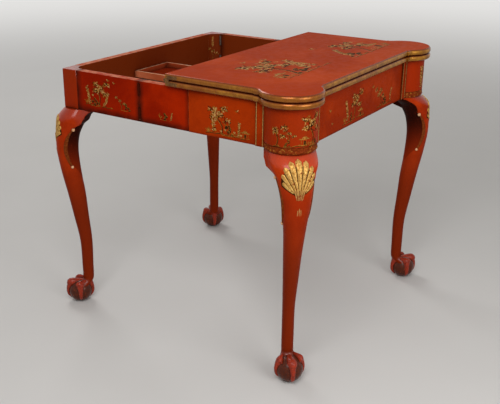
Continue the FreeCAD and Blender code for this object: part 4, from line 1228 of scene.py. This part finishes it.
def scroll_edge(height):
    """Angle round the leg, in degrees, of the line that the scroll follows."""
    if height >= SCROLL_FOOT:
        down = (SCROLL_TOP - height) / (SCROLL_TOP - SCROLL_FOOT)
        return PEARL_DEGREES - SCROLL_BOW * math.sin(math.pi * down) ** 0.8
    return PEARL_DEGREES + BACK_SPREAD * ((SCROLL_FOOT - height) / (SCROLL_FOOT - BACK_FOOT)) ** 0.7


def scroll(drawn, leg, way, rows=36, columns=10):
    """A broad bead that stands proud of the leg, thinner towards its ends."""
    grid = []
    for row in range(rows + 1):
        share = row / rows
        height = SCROLL_TOP - (SCROLL_TOP - SCROLL_FOOT) * share
        half = SCROLL_HALF + SCROLL_SWELL * math.sin(math.pi * share)
        ring = leg.at(height)
        wide = (ring[3] + ring[4]) / 2
        line = []
        for column in range(columns + 1):
            across = 2 * column / columns - 1
            turn = math.radians(scroll_edge(height)) + across * half / wide
            lift = SCROLL_RELIEF * math.sqrt(1 - across * across) - SCROLL_SUNK
            line.append(leg.point(way * turn, height, lift))
        grid.append(line)
    patch(drawn, grid, leg, BEAD)


def dark_back(drawn, leg):
    """The dark back of a knee, between its two scrolls: dark paint and painted shade."""
    grid = []
    for row in range(BACK_ROWS + 1):
        height = BACK_FOOT + (BACK_TOP - BACK_FOOT) * row / BACK_ROWS
        edge = scroll_edge(height) if height <= SCROLL_TOP else BACK_EDGE
        turns = [edge + (360 - 2 * edge) * column / BACK_COLUMNS for column in range(BACK_COLUMNS + 1)]
        grid.append([leg.point(math.radians(turn), height, 0.3) for turn in turns])
    patch(drawn, grid, leg, SHADE)


def pearl(drawn, middle, radius):
    made = bmesh.ops.create_uvsphere(drawn, u_segments=14, v_segments=10, radius=radius * MM,
                                     matrix=Matrix.Translation(middle))
    for face in {face for vert in made["verts"] for face in vert.link_faces}:
        face.material_index = PEARL


for leg in LEGS.values():
    drawn = bmesh.new()
    dark_back(drawn, leg)
    for way in (ALONG_RAIL, ALONG_SIDE):
        scroll(drawn, leg, way)
        for height, lift, radius in PEARLS:
            pearl(drawn, leg.point(way * PEARL_ANGLE, height, lift), radius)
    hand_over(drawn, f"{leg.name}_scrolls", leg.body, (bronze, knee_black, pearl_paint))
print(2 * len(LEGS), "scrolls carved")

# %% [markdown]
# The pictures are painted in gold, ink and cream and stand a hair above the lacquer, as raised
# work does. They could be an image or a pattern of nodes, but a painter's strokes have edges
# that stay sharp close up only as mesh. Each picture is drawn flat, in millimetres across and up
# its face, from a few strokes: a fill, a tapering line, a leaf and a dot.

# %% A picture and its strokes
LIFT = {DARK: 0.07, GOLD: 0.13, PALE: 0.18}
STROKE_STEPS = 5
LEAF_OUTLINE = ((0, 0), (0.25, 0.42), (0.55, 0.5), (0.8, 0.3), (1, 0), (0.8, -0.3), (0.55, -0.5),
                (0.25, -0.42))


class Picture:
    """Flat shapes in gold, ink and cream, later laid on one face of the table."""

    def __init__(self, seed):
        self.shapes = []
        self.chance = random.Random(seed)

    def fill(self, paint, points):
        self.shapes.append((paint, [tuple(point) for point in points]))

    def stroke(self, paint, points, start, stop=None):
        """A line that tapers from one width to another."""
        stop = start if stop is None else stop
        line = smooth_line(points, STROKE_STEPS)
        sides = ([], [])
        for number, (u, v) in enumerate(line):
            before, after = line[max(number - 1, 0)], line[min(number + 1, len(line) - 1)]
            way = Vector((after[0] - before[0], after[1] - before[1])).normalized()
            half = (start + (stop - start) * number / (len(line) - 1)) / 2
            for side, sign in zip(sides, (1, -1)):
                side.append((u - sign * way.y * half, v + sign * way.x * half))
        for number in range(len(line) - 1):
            self.fill(paint, (sides[0][number], sides[0][number + 1],
                              sides[1][number + 1], sides[1][number]))

    def leaf(self, paint, u, v, angle, length, width):
        """A pointed leaf from its stalk, along an angle in degrees."""
        turn = math.radians(angle)
        along, aside = (math.cos(turn), math.sin(turn)), (-math.sin(turn), math.cos(turn))
        self.fill(paint, [(u + along[0] * a * length + aside[0] * b * width,
                           v + along[1] * a * length + aside[1] * b * width)
                          for a, b in LEAF_OUTLINE])

    def dot(self, paint, u, v, wide, high=None, sides=10):
        """A round spot with an uneven edge."""
        high = wide if high is None else high
        points = []
        for turn in full_turn(sides):
            swell = self.chance.uniform(0.82, 1.15)
            points.append((u + wide * swell * math.cos(turn), v + high * swell * math.sin(turn)))
        self.fill(paint, points)


print("strokes ready")

# %% [markdown]
# From those strokes come the stock motifs of this kind of painting, the plants and rocks first.
# Each could be drawn point by point, but a painter never makes the same leaf twice. So a motif
# is a rule with a little chance in it, and chance is seeded so that each run draws the same.

# %% Motifs: plants and rocks
def blossom(picture, u, v, size):
    for petal in range(5):
        picture.leaf((PALE, GOLD)[petal % 2], u, v, petal * 72 + 18, size * 0.8, size * 0.5)
    picture.dot(DARK, u, v, size * 0.16)


def tuft(picture, u, v, size, paint=GOLD):
    for blade in range(6):
        angle = 90 + (blade - 2.5) * 19 + picture.chance.uniform(-6, 6)
        picture.leaf(paint, u + (blade - 2.5) * size * 0.05, v, angle,
                     size * picture.chance.uniform(0.7, 1.1), size * 0.11)


def branch(picture, u, v, angle, length, blossoms=2, bend=25):
    """A curved stalk with leaves on both sides and a few flowers."""
    points = [(u, v)]
    turn = angle
    for step in range(4):
        turn += picture.chance.uniform(-bend, bend) * 0.6
        points.append((points[-1][0] + length / 4 * math.cos(math.radians(turn)),
                       points[-1][1] + length / 4 * math.sin(math.radians(turn))))
    picture.stroke(DARK, points, length * 0.05, length * 0.015)
    line = smooth_line(points, 6)
    for number in range(2, len(line)):
        for side in (1, -1):
            paint_used = (DARK, GOLD, GOLD, PALE)[(number + side) % 4]
            picture.leaf(paint_used, *line[number], turn + side * picture.chance.uniform(30, 75),
                         length * picture.chance.uniform(0.1, 0.18), length * 0.05)
    for _ in range(blossoms):
        spot = line[picture.chance.randrange(5, len(line))]
        blossom(picture, spot[0] + picture.chance.uniform(-2, 2),
                spot[1] + picture.chance.uniform(-2, 2), length * 0.09)


def rock(picture, u, v, wide, high):
    """A heap of worn boulders, each with a gilt rim over a dark body."""
    for number in range(7):
        share = number / 6
        a = u + wide * picture.chance.uniform(-0.44, 0.44) * (1 - 0.65 * share)
        b = v + high * (0.08 + 0.68 * share)
        across = wide * picture.chance.uniform(0.1, 0.17)
        up = high * picture.chance.uniform(0.1, 0.17)
        picture.dot(DARK, a, b, across, up, sides=9)
        start = picture.chance.uniform(10, 50)
        arc = [(a + across * math.cos(math.radians(turn)), b + up * math.sin(math.radians(turn)))
               for turn in (start, start + 45, start + 90, start + 130)]
        picture.stroke(GOLD, arc, high * 0.05, high * 0.015)
    foot = [(u - 0.62 * wide, v), (u, v - 0.04 * high), (u + 0.64 * wide, v + 0.02 * high)]
    picture.stroke(GOLD, foot, high * 0.05, high * 0.02)


def small_tree(picture, u, v, high, lean=0.0, crown=5):
    """A crooked trunk with clouds of leaves."""
    top = (u + lean * high, v + high * 0.8)
    trunk = [(u, v), (u + lean * high * 0.2 + high * 0.06, v + high * 0.28),
             (u + lean * high * 0.6 - high * 0.04, v + high * 0.55), top]
    picture.stroke(DARK, trunk, high * 0.075, high * 0.03)
    picture.stroke(GOLD, [(a - high * 0.02, b) for a, b in trunk], high * 0.025, high * 0.012)
    for number in range(crown):
        share = number / max(crown - 1, 1)
        aside = (share - 0.5) * high * 0.7 * (1 if number % 2 else -1)
        spot = (u + lean * high * (0.4 + 0.6 * share) + aside, v + high * (0.5 + 0.45 * share))
        picture.stroke(DARK, [trunk[2], ((trunk[2][0] + spot[0]) / 2, spot[1] - high * 0.08), spot],
                       high * 0.025, high * 0.012)
        picture.dot(DARK, *spot, high * 0.12, high * 0.07)
        for number_of_leaf in range(30):
            picture.leaf((DARK, GOLD, DARK, GOLD, PALE)[number_of_leaf % 5],
                         spot[0] + picture.chance.uniform(-0.15, 0.15) * high,
                         spot[1] + picture.chance.uniform(-0.09, 0.09) * high,
                         picture.chance.uniform(0, 360), high * 0.085, high * 0.036)


print("plants and rocks ready")

# %% [markdown]
# The same painting has small open houses with turned-up eaves, birds, fences and strips of
# earth. These are stock shapes as well, and no scene is copied: every face puts them together
# in its own way. A house could be drawn afresh for each place. Here its sizes are shares of one
# width or height, so that the same motif can be small on a turret and large on the top.

# %% Motifs: summer house, bird, fence and ground
# The roof's outline, across and up, from its left tip along the eaves and back over the ridge
ROOF = ((-0.72, 0.14), (-0.55, 0), (0.55, 0), (0.72, 0.14), (0.4, 0.12), (0.2, 0.32), (-0.2, 0.32),
        (-0.4, 0.12))


def summer_house(picture, u, v, wide, storeys=1):
    """A small open pavilion with turned-up eaves."""
    base, high = v, wide * 0.55
    step = [(u - wide * 0.62, base), (u, base - wide * 0.02), (u + wide * 0.62, base)]
    picture.stroke(GOLD, step, wide * 0.06)
    for _ in range(storeys):
        for post in (-0.42, -0.15, 0.15, 0.42):
            at = u + post * wide
            picture.stroke(GOLD, [(at, base), (at, base + high)], wide * 0.035)
        door, lintel = 0.12 * wide, base + high * 0.75
        picture.fill(DARK, [(u - door, base), (u + door, base), (u + door, lintel), (u - door, lintel)])
        roof = base + high
        picture.fill(GOLD, [(u + across * wide, roof + up * wide) for across, up in ROOF])
        for rib_place in (-0.3, -0.1, 0.1, 0.3):
            picture.stroke(PALE, [(u + rib_place * 1.25 * wide, roof + wide * 0.02),
                                  (u + rib_place * 0.55 * wide, roof + wide * 0.29)], wide * 0.025)
        base, wide, high = roof + wide * 0.32, wide * 0.62, wide * 0.36
    picture.stroke(GOLD, [(u, base), (u, base + wide * 0.35)], wide * 0.08, wide * 0.02)


def bird(picture, u, v, size, way=1):
    picture.leaf(GOLD, u, v, 90 - way * 70, size, size * 0.34)
    picture.dot(GOLD, u + way * size * 0.95, v + size * 0.42, size * 0.14)
    picture.leaf(PALE, u + way * size * 0.3, v + size * 0.2, 90 + way * 35, size * 0.75, size * 0.3)
    picture.leaf(DARK, u + way * size * 0.45, v + size * 0.22, 90 + way * 10, size * 0.6, size * 0.2)
    picture.leaf(DARK, u, v, 90 + way * 110, size * 0.6, size * 0.16)


def fence(picture, u, v, wide, high, posts=5):
    for number in range(posts):
        at = u + wide * number / (posts - 1)
        picture.stroke(GOLD, [(at, v), (at, v + high)], high * 0.1)
        if number < posts - 1:
            after = u + wide * (number + 1) / (posts - 1)
            picture.stroke(GOLD, [(at, v + high * 0.15), (after, v + high * 0.8)], high * 0.06)
    for level in (0.15, 0.85):
        picture.stroke(GOLD, [(u, v + high * level), (u + wide, v + high * level)], high * 0.08)


def ground(picture, u, v, wide):
    """A strip of earth with a few stones, drawn as wavering lines."""
    for number in range(5):
        start = u + wide * (number + picture.chance.uniform(0, 0.3)) / 5
        level = v + picture.chance.uniform(-2, 2)
        reach = wide * picture.chance.uniform(0.12, 0.24)
        swell = level + picture.chance.uniform(0.5, 2)
        points = [(start, level), (start + reach / 2, swell), (start + reach, level)]
        picture.stroke(DARK, [(a, b - 1.4) for a, b in points], wide * 0.016, wide * 0.006)
        picture.stroke(GOLD, points, wide * 0.01, wide * 0.004)
        tuft(picture, start + reach * 0.7, level, wide * 0.05, (GOLD, DARK)[number % 2])


print("houses, birds, fences and ground ready")

# %% [markdown]
# Each face of the table has its own rule for where a point of a picture lies: how far across the
# face, how far up, and how far off it. A shrinkwrap modifier could press a flat picture on, but
# it would lose the raised edges. Flat faces only swap axes. The turrets and the hollow corners
# of the posts wrap the picture round. The paint on the top is kept thinner, because that is the
# table's highest face and thick paint would make the table taller than its solids.

# %% Rules for the faces
TOP_PAINT = 0.1
HOLLOW_PICTURE = math.radians(36)
TURRET_PICTURE = {LEFT: math.radians(225), RIGHT: math.radians(315)}


def lay_left(u, v, h):
    return (-SIDE_FACE - h, -u, v)


def lay_right(u, v, h):
    return (SIDE_FACE + h, u, v)


def lay_front(u, v, h):
    return (u, -FRONT_FACE - h, v)


def lay_rear(u, v, h):
    return (-u, REAR_FACE + h, v)


def lay_top(u, v, h):
    return (u, v, TOP_FACE + h * TOP_PAINT)


def lay_hollow(side):
    """The hollowed inner corner of a rear post."""
    def lay(u, v, h):
        turn = HOLLOW_PICTURE + side * u / HOLLOW_RADIUS
        radius = HOLLOW_RADIUS - h
        return (side * (HOLLOW[0] + radius * math.sin(turn)), HOLLOW[1] + radius * math.cos(turn), v)
    return lay


def lay_turret(side):
    def lay(u, v, h):
        turn = TURRET_PICTURE[side] + u / TURRET_RADIUS
        radius = TURRET_RADIUS + h
        return (side * TURRET[0] + radius * math.cos(turn), radius * math.sin(turn) - TURRET[1], v)
    return lay


def raised(lay, rise):
    """The rule for a face that stands proud of another."""
    def lay_higher(u, v, h):
        return lay(u, v, h + rise)
    return lay_higher


print("faces ready, a turret's picture is wrapped at", TURRET_RADIUS, "mm")

# %% [markdown]
# To lay a picture, each of its shapes becomes a face, lifted a little by its paint, with a rim
# down to the lacquer so that the paint has a thickness. A boolean could melt shapes that lie over
# each other into one, but slowly. Slightly different heights are enough to keep them from
# flickering. Where the face is round, the shapes are first cut into narrow strips that can bend.

# %% Lay a picture on a face
# The step between the heights of shapes, and how many steps there are before they start again
HAIR, HAIRS = 0.0002, 100
# Width of the strips that bend round a face
BEND = 4


def lay_picture(picture, name, body, lay, strips=None):
    drawn = bmesh.new()
    for number, (paint, points) in enumerate(picture.shapes):
        lift = LIFT[paint] + HAIR * (number % HAIRS)
        face = drawn.faces.new([drawn.verts.new((u, v, lift)) for u, v in points])
        face.material_index = paint
        face.normal_update()
        if face.normal.z < 0:
            face.normal_flip()
    if strips:
        low = min(vert.co.x for vert in drawn.verts)
        high = max(vert.co.x for vert in drawn.verts)
        for number in range(math.ceil(low / strips), math.floor(high / strips) + 1):
            bmesh.ops.bisect_plane(drawn, geom=drawn.verts[:] + drawn.edges[:] + drawn.faces[:],
                                   plane_co=(number * strips, 0, 0), plane_no=(1, 0, 0))
    rims = [edge for edge in drawn.edges if edge.is_boundary]
    walls = bmesh.ops.extrude_edge_only(drawn, edges=rims)["geom"]
    for part in walls:
        if isinstance(part, bmesh.types.BMVert):
            part.co.z = 0.0
    for vert in drawn.verts:
        vert.co = Vector(lay(*vert.co)) * MM
    return hand_over(drawn, name, body, (worn_gilt, ink, cream), smooth=False)


print("paint stands up to", max(LIFT.values()), "mm off the lacquer")

# %% [markdown]
# Now the pictures. On the sides they stand along the foot of the board, as a landscape does. One
# picture could be repeated on every board, but each face of the real table has a layout of its
# own, and every panel needs its own piece, because it swings away from the next. The left side
# faces us: a landscape on the fixed rail, a small rock on the front panel, and a tree and birds
# on the rear one. The numbers are millimetres, along the table and up from the floor.

# %% Pictures on the left side
picture = Picture(11)
ground(picture, 100, 592, 128)
small_tree(picture, 150, 594, 64, lean=-0.25, crown=6)
rock(picture, 168, 592, 30, 30)
branch(picture, 128, 594, 108, 58, blossoms=3)
branch(picture, 196, 593, 75, 34, blossoms=3)
summer_house(picture, 216, 594, 20)
tuft(picture, 112, 592, 18)
fence(picture, 178, 592, 24, 9)
for spot in ((148, 600), (160, 605), (186, 603), (204, 599)):
    blossom(picture, *spot, 4.5)
bird(picture, 196, 652, 9, way=-1)
lay_picture(picture, "left_rail_picture", "front_frame", lay_left)

picture = Picture(12)
rock(picture, -19, 600, 26, 20)
tuft(picture, -34, 602, 14)
branch(picture, -2, 601, 60, 20, blossoms=1)
lay_picture(picture, "left_front_panel_picture", "left_front_panel", lay_left)

picture = Picture(13)
ground(picture, -286, 603, 96)
small_tree(picture, -238, 605, 62, lean=0.12, crown=6)
branch(picture, -268, 604, 100, 46, blossoms=2)
branch(picture, -222, 604, 62, 40, blossoms=2)
rock(picture, -250, 602, 30, 24)
tuft(picture, -279, 603, 18)
for spot in ((-232, 655), (-246, 648), (-226, 640), (-258, 630)):
    blossom(picture, *spot, 4.5)
bird(picture, -206, 672, 8)
bird(picture, -186, 668, 7)
rock(picture, -146, 604, 28, 22)
small_tree(picture, -160, 606, 30, lean=-0.2, crown=3)
lay_picture(picture, "left_rear_panel_picture", "left_rear_panel", lay_left)
print("left side painted")

# %% [markdown]
# The right side, the back and the hollow corners of the rear posts are out of sight from where we
# stand. They could be left plain, but this table can be looked at from all round. What is painted
# there is a guess: the same motifs in other layouts. The pictures in the hollows stay narrow, so
# that they keep clear of the side panels as these fold in.

# %% Pictures on the right side and the back
picture = Picture(21)
ground(picture, -232, 592, 134)
summer_house(picture, -196, 594, 26, storeys=2)
small_tree(picture, -150, 594, 60, lean=0.2, crown=6)
rock(picture, -128, 592, 28, 24)
fence(picture, -178, 592, 22, 9)
branch(picture, -222, 594, 95, 40)
bird(picture, -118, 655, 9)
lay_picture(picture, "right_rail_picture", "front_frame", lay_right)

picture = Picture(22)
rock(picture, 24, 602, 30, 22)
branch(picture, 8, 602, 100, 34, blossoms=2)
tuft(picture, 42, 602, 15)
lay_picture(picture, "right_front_panel_picture", "right_front_panel", lay_right)

picture = Picture(23)
ground(picture, 150, 602, 110)
branch(picture, 178, 604, 85, 54, blossoms=3)
small_tree(picture, 220, 603, 58, lean=-0.2, crown=5)
rock(picture, 200, 602, 32, 26)
tuft(picture, 250, 602, 17)
bird(picture, 160, 660, 9)
lay_picture(picture, "right_rear_panel_picture", "right_rear_panel", lay_right)

picture = Picture(24)
ground(picture, -170, 596, 150)
small_tree(picture, -120, 598, 62, lean=0.2, crown=6)
summer_house(picture, -64, 598, 28)
rock(picture, -150, 596, 34, 26)
fence(picture, -44, 597, 26, 10)
branch(picture, 96, 600, 80, 56, blossoms=3)
rock(picture, 120, 597, 36, 28)
tuft(picture, 78, 598, 18)
ground(picture, 70, 597, 90)
bird(picture, 20, 655, 10)
bird(picture, 42, 648, 8)
lay_picture(picture, "rear_rail_picture", "rear_frame", lay_rear)
for side, seed in ((LEFT, 25), (RIGHT, 26)):
    picture = Picture(seed)
    small_tree(picture, 0, 606, 36, lean=0.02, crown=3)
    branch(picture, 0, 645, 90, 30, blossoms=1, bend=10)
    lay_picture(picture, f"{SIDE_NAMES[side]}_inner_corner_picture", "rear_frame",
                lay_hollow(side), strips=BEND)
print("right side and back painted")

# %% [markdown]
# The front rail has a landscape at each end and birds between, and the round turrets carry
# denser scenes that wrap about them. The pictures could be mirrored from left to right, but a
# painter works on, so the two turrets differ.

# %% Pictures on the front and the turrets
picture = Picture(31)
ground(picture, -112, 594, 120)
branch(picture, -84, 596, 98, 52, blossoms=2)
small_tree(picture, -52, 595, 66, lean=0.25, crown=6)
rock(picture, -68, 594, 28, 24)
summer_house(picture, -12, 596, 22)
tuft(picture, -100, 595, 18)
small_tree(picture, 108, 596, 50, lean=-0.2, crown=5)
rock(picture, 132, 594, 34, 24)
ground(picture, 84, 594, 96)
branch(picture, 168, 596, 110, 34, blossoms=2)
bird(picture, -182, 640, 9)
bird(picture, -168, 606, 8)
bird(picture, 60, 652, 9, way=-1)
lay_picture(picture, "front_rail_picture", "front_frame", lay_front)

picture = Picture(32)
small_tree(picture, -48, 604, 46, lean=0.05, crown=4)
rock(picture, -22, 602, 16, 20)
small_tree(picture, -20, 612, 30, lean=0.1, crown=3)
ground(picture, -58, 602, 110)
summer_house(picture, 18, 606, 22)
small_tree(picture, 40, 606, 66, lean=-0.1, crown=6)
fence(picture, 24, 603, 20, 8)
rock(picture, 52, 602, 18, 16)
lay_picture(picture, "left_turret_picture", "front_frame", lay_turret(LEFT), strips=BEND)

picture = Picture(33)
small_tree(picture, -30, 606, 56, lean=0.1, crown=5)
rock(picture, -14, 602, 22, 22)
ground(picture, -50, 602, 104)
branch(picture, 12, 604, 80, 44, blossoms=2)
tuft(picture, 34, 603, 18)
branch(picture, -48, 606, 95, 60, blossoms=2)
lay_picture(picture, "right_turret_picture", "front_frame", lay_turret(RIGHT), strips=BEND)
print("front and turrets painted")

# %% [markdown]
# Beside each turret stands a flat strip, edged with a pale line between two dark ones. The lines
# could be nodes in the lacquer, but every strip would need its own distances there; as strokes
# they are three widths, drawn along both edges and laid as far out as the strip stands proud.

# %% Lines on the strips beside the turrets
STRIP_WIDTH = 22
STRIP_RISE = in_mm(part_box("corner_strips")[1].x) - SIDE_FACE
SIDE_STRIP = in_mm(-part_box("corner_strips")[1].y) + STRIP_WIDTH / 2
FRONT_STRIP = SIDE_STRIP - TURRET[1] + TURRET[0]
# Paint, distance in from the strip's edge, and width
EDGE_LINES = ((DARK, 0.5, 0.9), (PALE, 2.2, 1.7), (DARK, 3.6, 0.7))
STRIPS = ((35, "front_strip_lines", lay_front, (-FRONT_STRIP, FRONT_STRIP)),
          (36, "left_strip_lines", lay_left, (SIDE_STRIP,)),
          (37, "right_strip_lines", lay_right, (-SIDE_STRIP,)))


def strip_lines(picture, middle):
    """Pale and dark lines along both edges of a flat strip."""
    for way in (-1, 1):
        for paint, inset, width in EDGE_LINES:
            at = middle + way * (STRIP_WIDTH / 2 - inset)
            picture.stroke(paint, [(at, RAIL_FOOT + 1), (at, RAIL_TOP - 1)], width)


for seed, name, lay, middles in STRIPS:
    picture = Picture(seed)
    for middle in middles:
        strip_lines(picture, middle)
    lay_picture(picture, name, "front_frame", raised(lay, STRIP_RISE))
print("strips lined at", round(FRONT_STRIP, 2), "and", round(SIDE_STRIP, 2), "mm from the middle")

# %% [markdown]
# On the folded top two wider scenes lie side by side, with their feet to the front edge. They are
# the largest pictures on the table, so the motifs are about twice as big. One scene could fill
# the whole leaf, but two with open red round them keep the middle of the leaf plain.

# %% Pictures on the top
picture = Picture(34)
ground(picture, -236, -262, 214)
small_tree(picture, -172, -256, 150, lean=0.2, crown=7)
rock(picture, -130, -258, 70, 46)
branch(picture, -98, -250, 70, 104, blossoms=3)
branch(picture, -60, -246, 95, 78, blossoms=2)
summer_house(picture, -206, -250, 42)
tuft(picture, -226, -258, 36)
bird(picture, -92, -110, 20)
bird(picture, -150, -84, 16)
ground(picture, 70, -282, 236)
rock(picture, 120, -278, 84, 44)
small_tree(picture, 184, -276, 120, lean=0.35, crown=7)
summer_house(picture, 262, -274, 52, storeys=2)
branch(picture, 96, -268, 80, 84, blossoms=3)
fence(picture, 200, -278, 52, 16)
tuft(picture, 300, -278, 34)
bird(picture, 120, -140, 18, way=-1)
lay_picture(picture, "top_picture", "top_flap", lay_top)
print("top painted with", len(picture.shapes), "shapes")

# %% [markdown]
# Inside, each leaf is lined with one flat piece of baize, glued in a shallow bed, with its two
# front corners cut round the dishes for the candlesticks. Cloth that hangs would be simulated,
# but glued cloth has nowhere to move. So it is cut here as one outline with a rolled edge, a
# little thicker than paper, and takes the place of the baize solid on its leaf.

# %% Baize linings
DISH_CUT = 52.2
DISH_STEPS = 16
ROLL, ROLL_WIDTH = 0.6, 1.5


def baize_outline(low, high):
    """The cloth's edge seen from above, in metres, from the left end of the hinge line."""
    across = high.x / MM
    first = math.pi - math.asin((low.y / MM + TURRET[1]) / DISH_CUT)
    last = math.acos((across - TURRET[0]) / DISH_CUT)
    hollow = []
    for step in range(DISH_STEPS + 1):
        turn = first + (last - first) * step / DISH_STEPS
        hollow.append((TURRET[0] + DISH_CUT * math.cos(turn), DISH_CUT * math.sin(turn) - TURRET[1]))
    mirrored = [(-x, y) for x, y in reversed(hollow)]
    rear = high.y / MM
    return [Vector(spot) * MM for spot in [(-across, rear)] + mirrored + hollow + [(across, rear)]]


def line_leaf(node, body, looks_up):
    low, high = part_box(node)
    bed, nap, roll = (low.z, high.z, -ROLL) if looks_up else (high.z, low.z, ROLL)
    outline = baize_outline(low, high)
    inner = []
    for number, spot in enumerate(outline):
        before, after = outline[number - 1], outline[(number + 1) % len(outline)]
        way = (spot - before).normalized() + (after - spot).normalized()
        inner.append(spot + Vector((-way.y, way.x)).normalized() * ROLL_WIDTH * MM)
    drawn = bmesh.new()
    skin(drawn, [[(*spot, bed) for spot in outline], [(*spot, nap + roll * MM) for spot in outline],
                 [(*spot, nap) for spot in inner]])
    bmesh.ops.recalc_face_normals(drawn, faces=drawn.faces)
    made = hand_over(drawn, f"{node}_lining", body, (baize,), stands_for=(node,), smooth=False)
    pairs = zip(outline, outline[1:] + outline[:1])
    area = abs(sum(a.x * b.y - b.x * a.y for a, b in pairs)) / 2
    print(node, "cut from", round(high.x - low.x, 4), "by", round(high.y - low.y, 4),
          "area", round(area, 4))


line_leaf("lower_baize", "front_frame", True)
line_leaf("upper_baize", "top_flap", False)

# %% [markdown]
# The stage is a plain pale floor that runs out of sight. A bent sheet behind the table would hide
# the horizon from one side only. Here the floor fades into the backdrop's own colour with its
# distance from the table, so it has no edge from any side. Near the table it takes light and
# shadow. Far off it glows, but only where the camera or a reflection looks, so that the glow
# doesn't light the table.

# %% Floor
BACKDROP = rgb(228, 227, 225)
FLOOR_SIZE = 60
FADE_START, FADE_STOP = 1.2, 7.0


def looked_at(tree):
    """One where the camera or a reflection looks, none where only light arrives."""
    path = tree.add("ShaderNodeLightPath").outputs
    mirrored = tree.sum("MAXIMUM", path["Is Glossy Ray"], path["Is Transmission Ray"])
    return tree.sum("MAXIMUM", path["Is Camera Ray"], mirrored)


drawn = bmesh.new()
bmesh.ops.create_grid(drawn, x_segments=8, y_segments=8, size=FLOOR_SIZE)
floor_mesh = bpy.data.meshes.new("floor")
drawn.to_mesh(floor_mesh)
drawn.free()
floor = bpy.data.objects.new("floor", floor_mesh)
scene.collection.objects.link(floor)
floor_paint, tree, shader = new_finish("floor_paint")
place = tree.add("ShaderNodeTexCoord").outputs["Object"]
pale = tree.mix(tree.noise(place, 2.0), rgb(214, 212, 209), rgb(206, 204, 201))
tree.feed(shader.inputs["Base Color"], pale)
shader.inputs["Roughness"].default_value = 0.75
from_table = tree.add("ShaderNodeVectorMath", operation="LENGTH", inputs={0: place})
fading = tree.fade(from_table.outputs["Value"], FADE_START, FADE_STOP)
far = tree.sum("MULTIPLY", fading, looked_at(tree))
glow = tree.add("ShaderNodeEmission", inputs={"Color": BACKDROP, "Strength": 1.0})
sweep = tree.add("ShaderNodeMixShader", inputs={0: far, 1: shader.outputs[0], 2: glow.outputs[0]})
tree.feed(floor_paint.node_tree.nodes["Material Output"].inputs["Surface"], sweep.outputs[0])
floor_mesh.materials.append(floor_paint)
print("floor laid, it fades from", FADE_START, "to", FADE_STOP, "m")

# %% [markdown]
# The light is that of a plain studio: a large lamp above and to the left, a small weak one low in
# front, one from behind, and the sky all round. One strong lamp would be simpler, but lacquer
# shows its form by soft lights of different strength. What the camera and the reflections see of
# the sky is the pale backdrop; what lights the table is weaker.

# %% Light
SKY_COLOUR, SKY_STRENGTH = (1.0, 0.98, 0.95, 1.0), 0.28
# Name, place, what it looks at, size across and power
LAMPS = (("key", (-1.9, -0.8, 2.2), (-0.1, 0, 0.6), 1.5, 33),
         ("fill", (-0.6, -1.55, 0.95), (-0.25, -0.35, 0.6), 1.0, 9),
         ("rim", (1.2, 2.4, 2.6), (0, 0, 0.6), 1.6, 30))
world = bpy.data.worlds.new("studio")
scene.world = world
world.use_nodes = True
tree = Tree(world.node_tree)
seen = tree.add("ShaderNodeBackground", inputs={"Color": BACKDROP, "Strength": 1.0})
lit = tree.add("ShaderNodeBackground", inputs={"Color": SKY_COLOUR, "Strength": SKY_STRENGTH})
backdrop = tree.add("ShaderNodeMixShader", inputs={
    0: looked_at(tree), 1: lit.outputs[0], 2: seen.outputs[0]})
tree.feed(world.node_tree.nodes["World Output"].inputs["Surface"], backdrop.outputs[0])


def lamp(name, spot, aim, size, power):
    light = bpy.data.lights.new(name, "AREA")
    light.shape = "DISK"
    light.size = size
    light.energy = power
    made = bpy.data.objects.new(name, light)
    scene.collection.objects.link(made)
    made.location = spot
    made.rotation_euler = (Vector(aim) - Vector(spot)).to_track_quat("-Z", "Y").to_euler()


for settings in LAMPS:
    lamp(*settings)
print(len(LAMPS), "lamps lit")
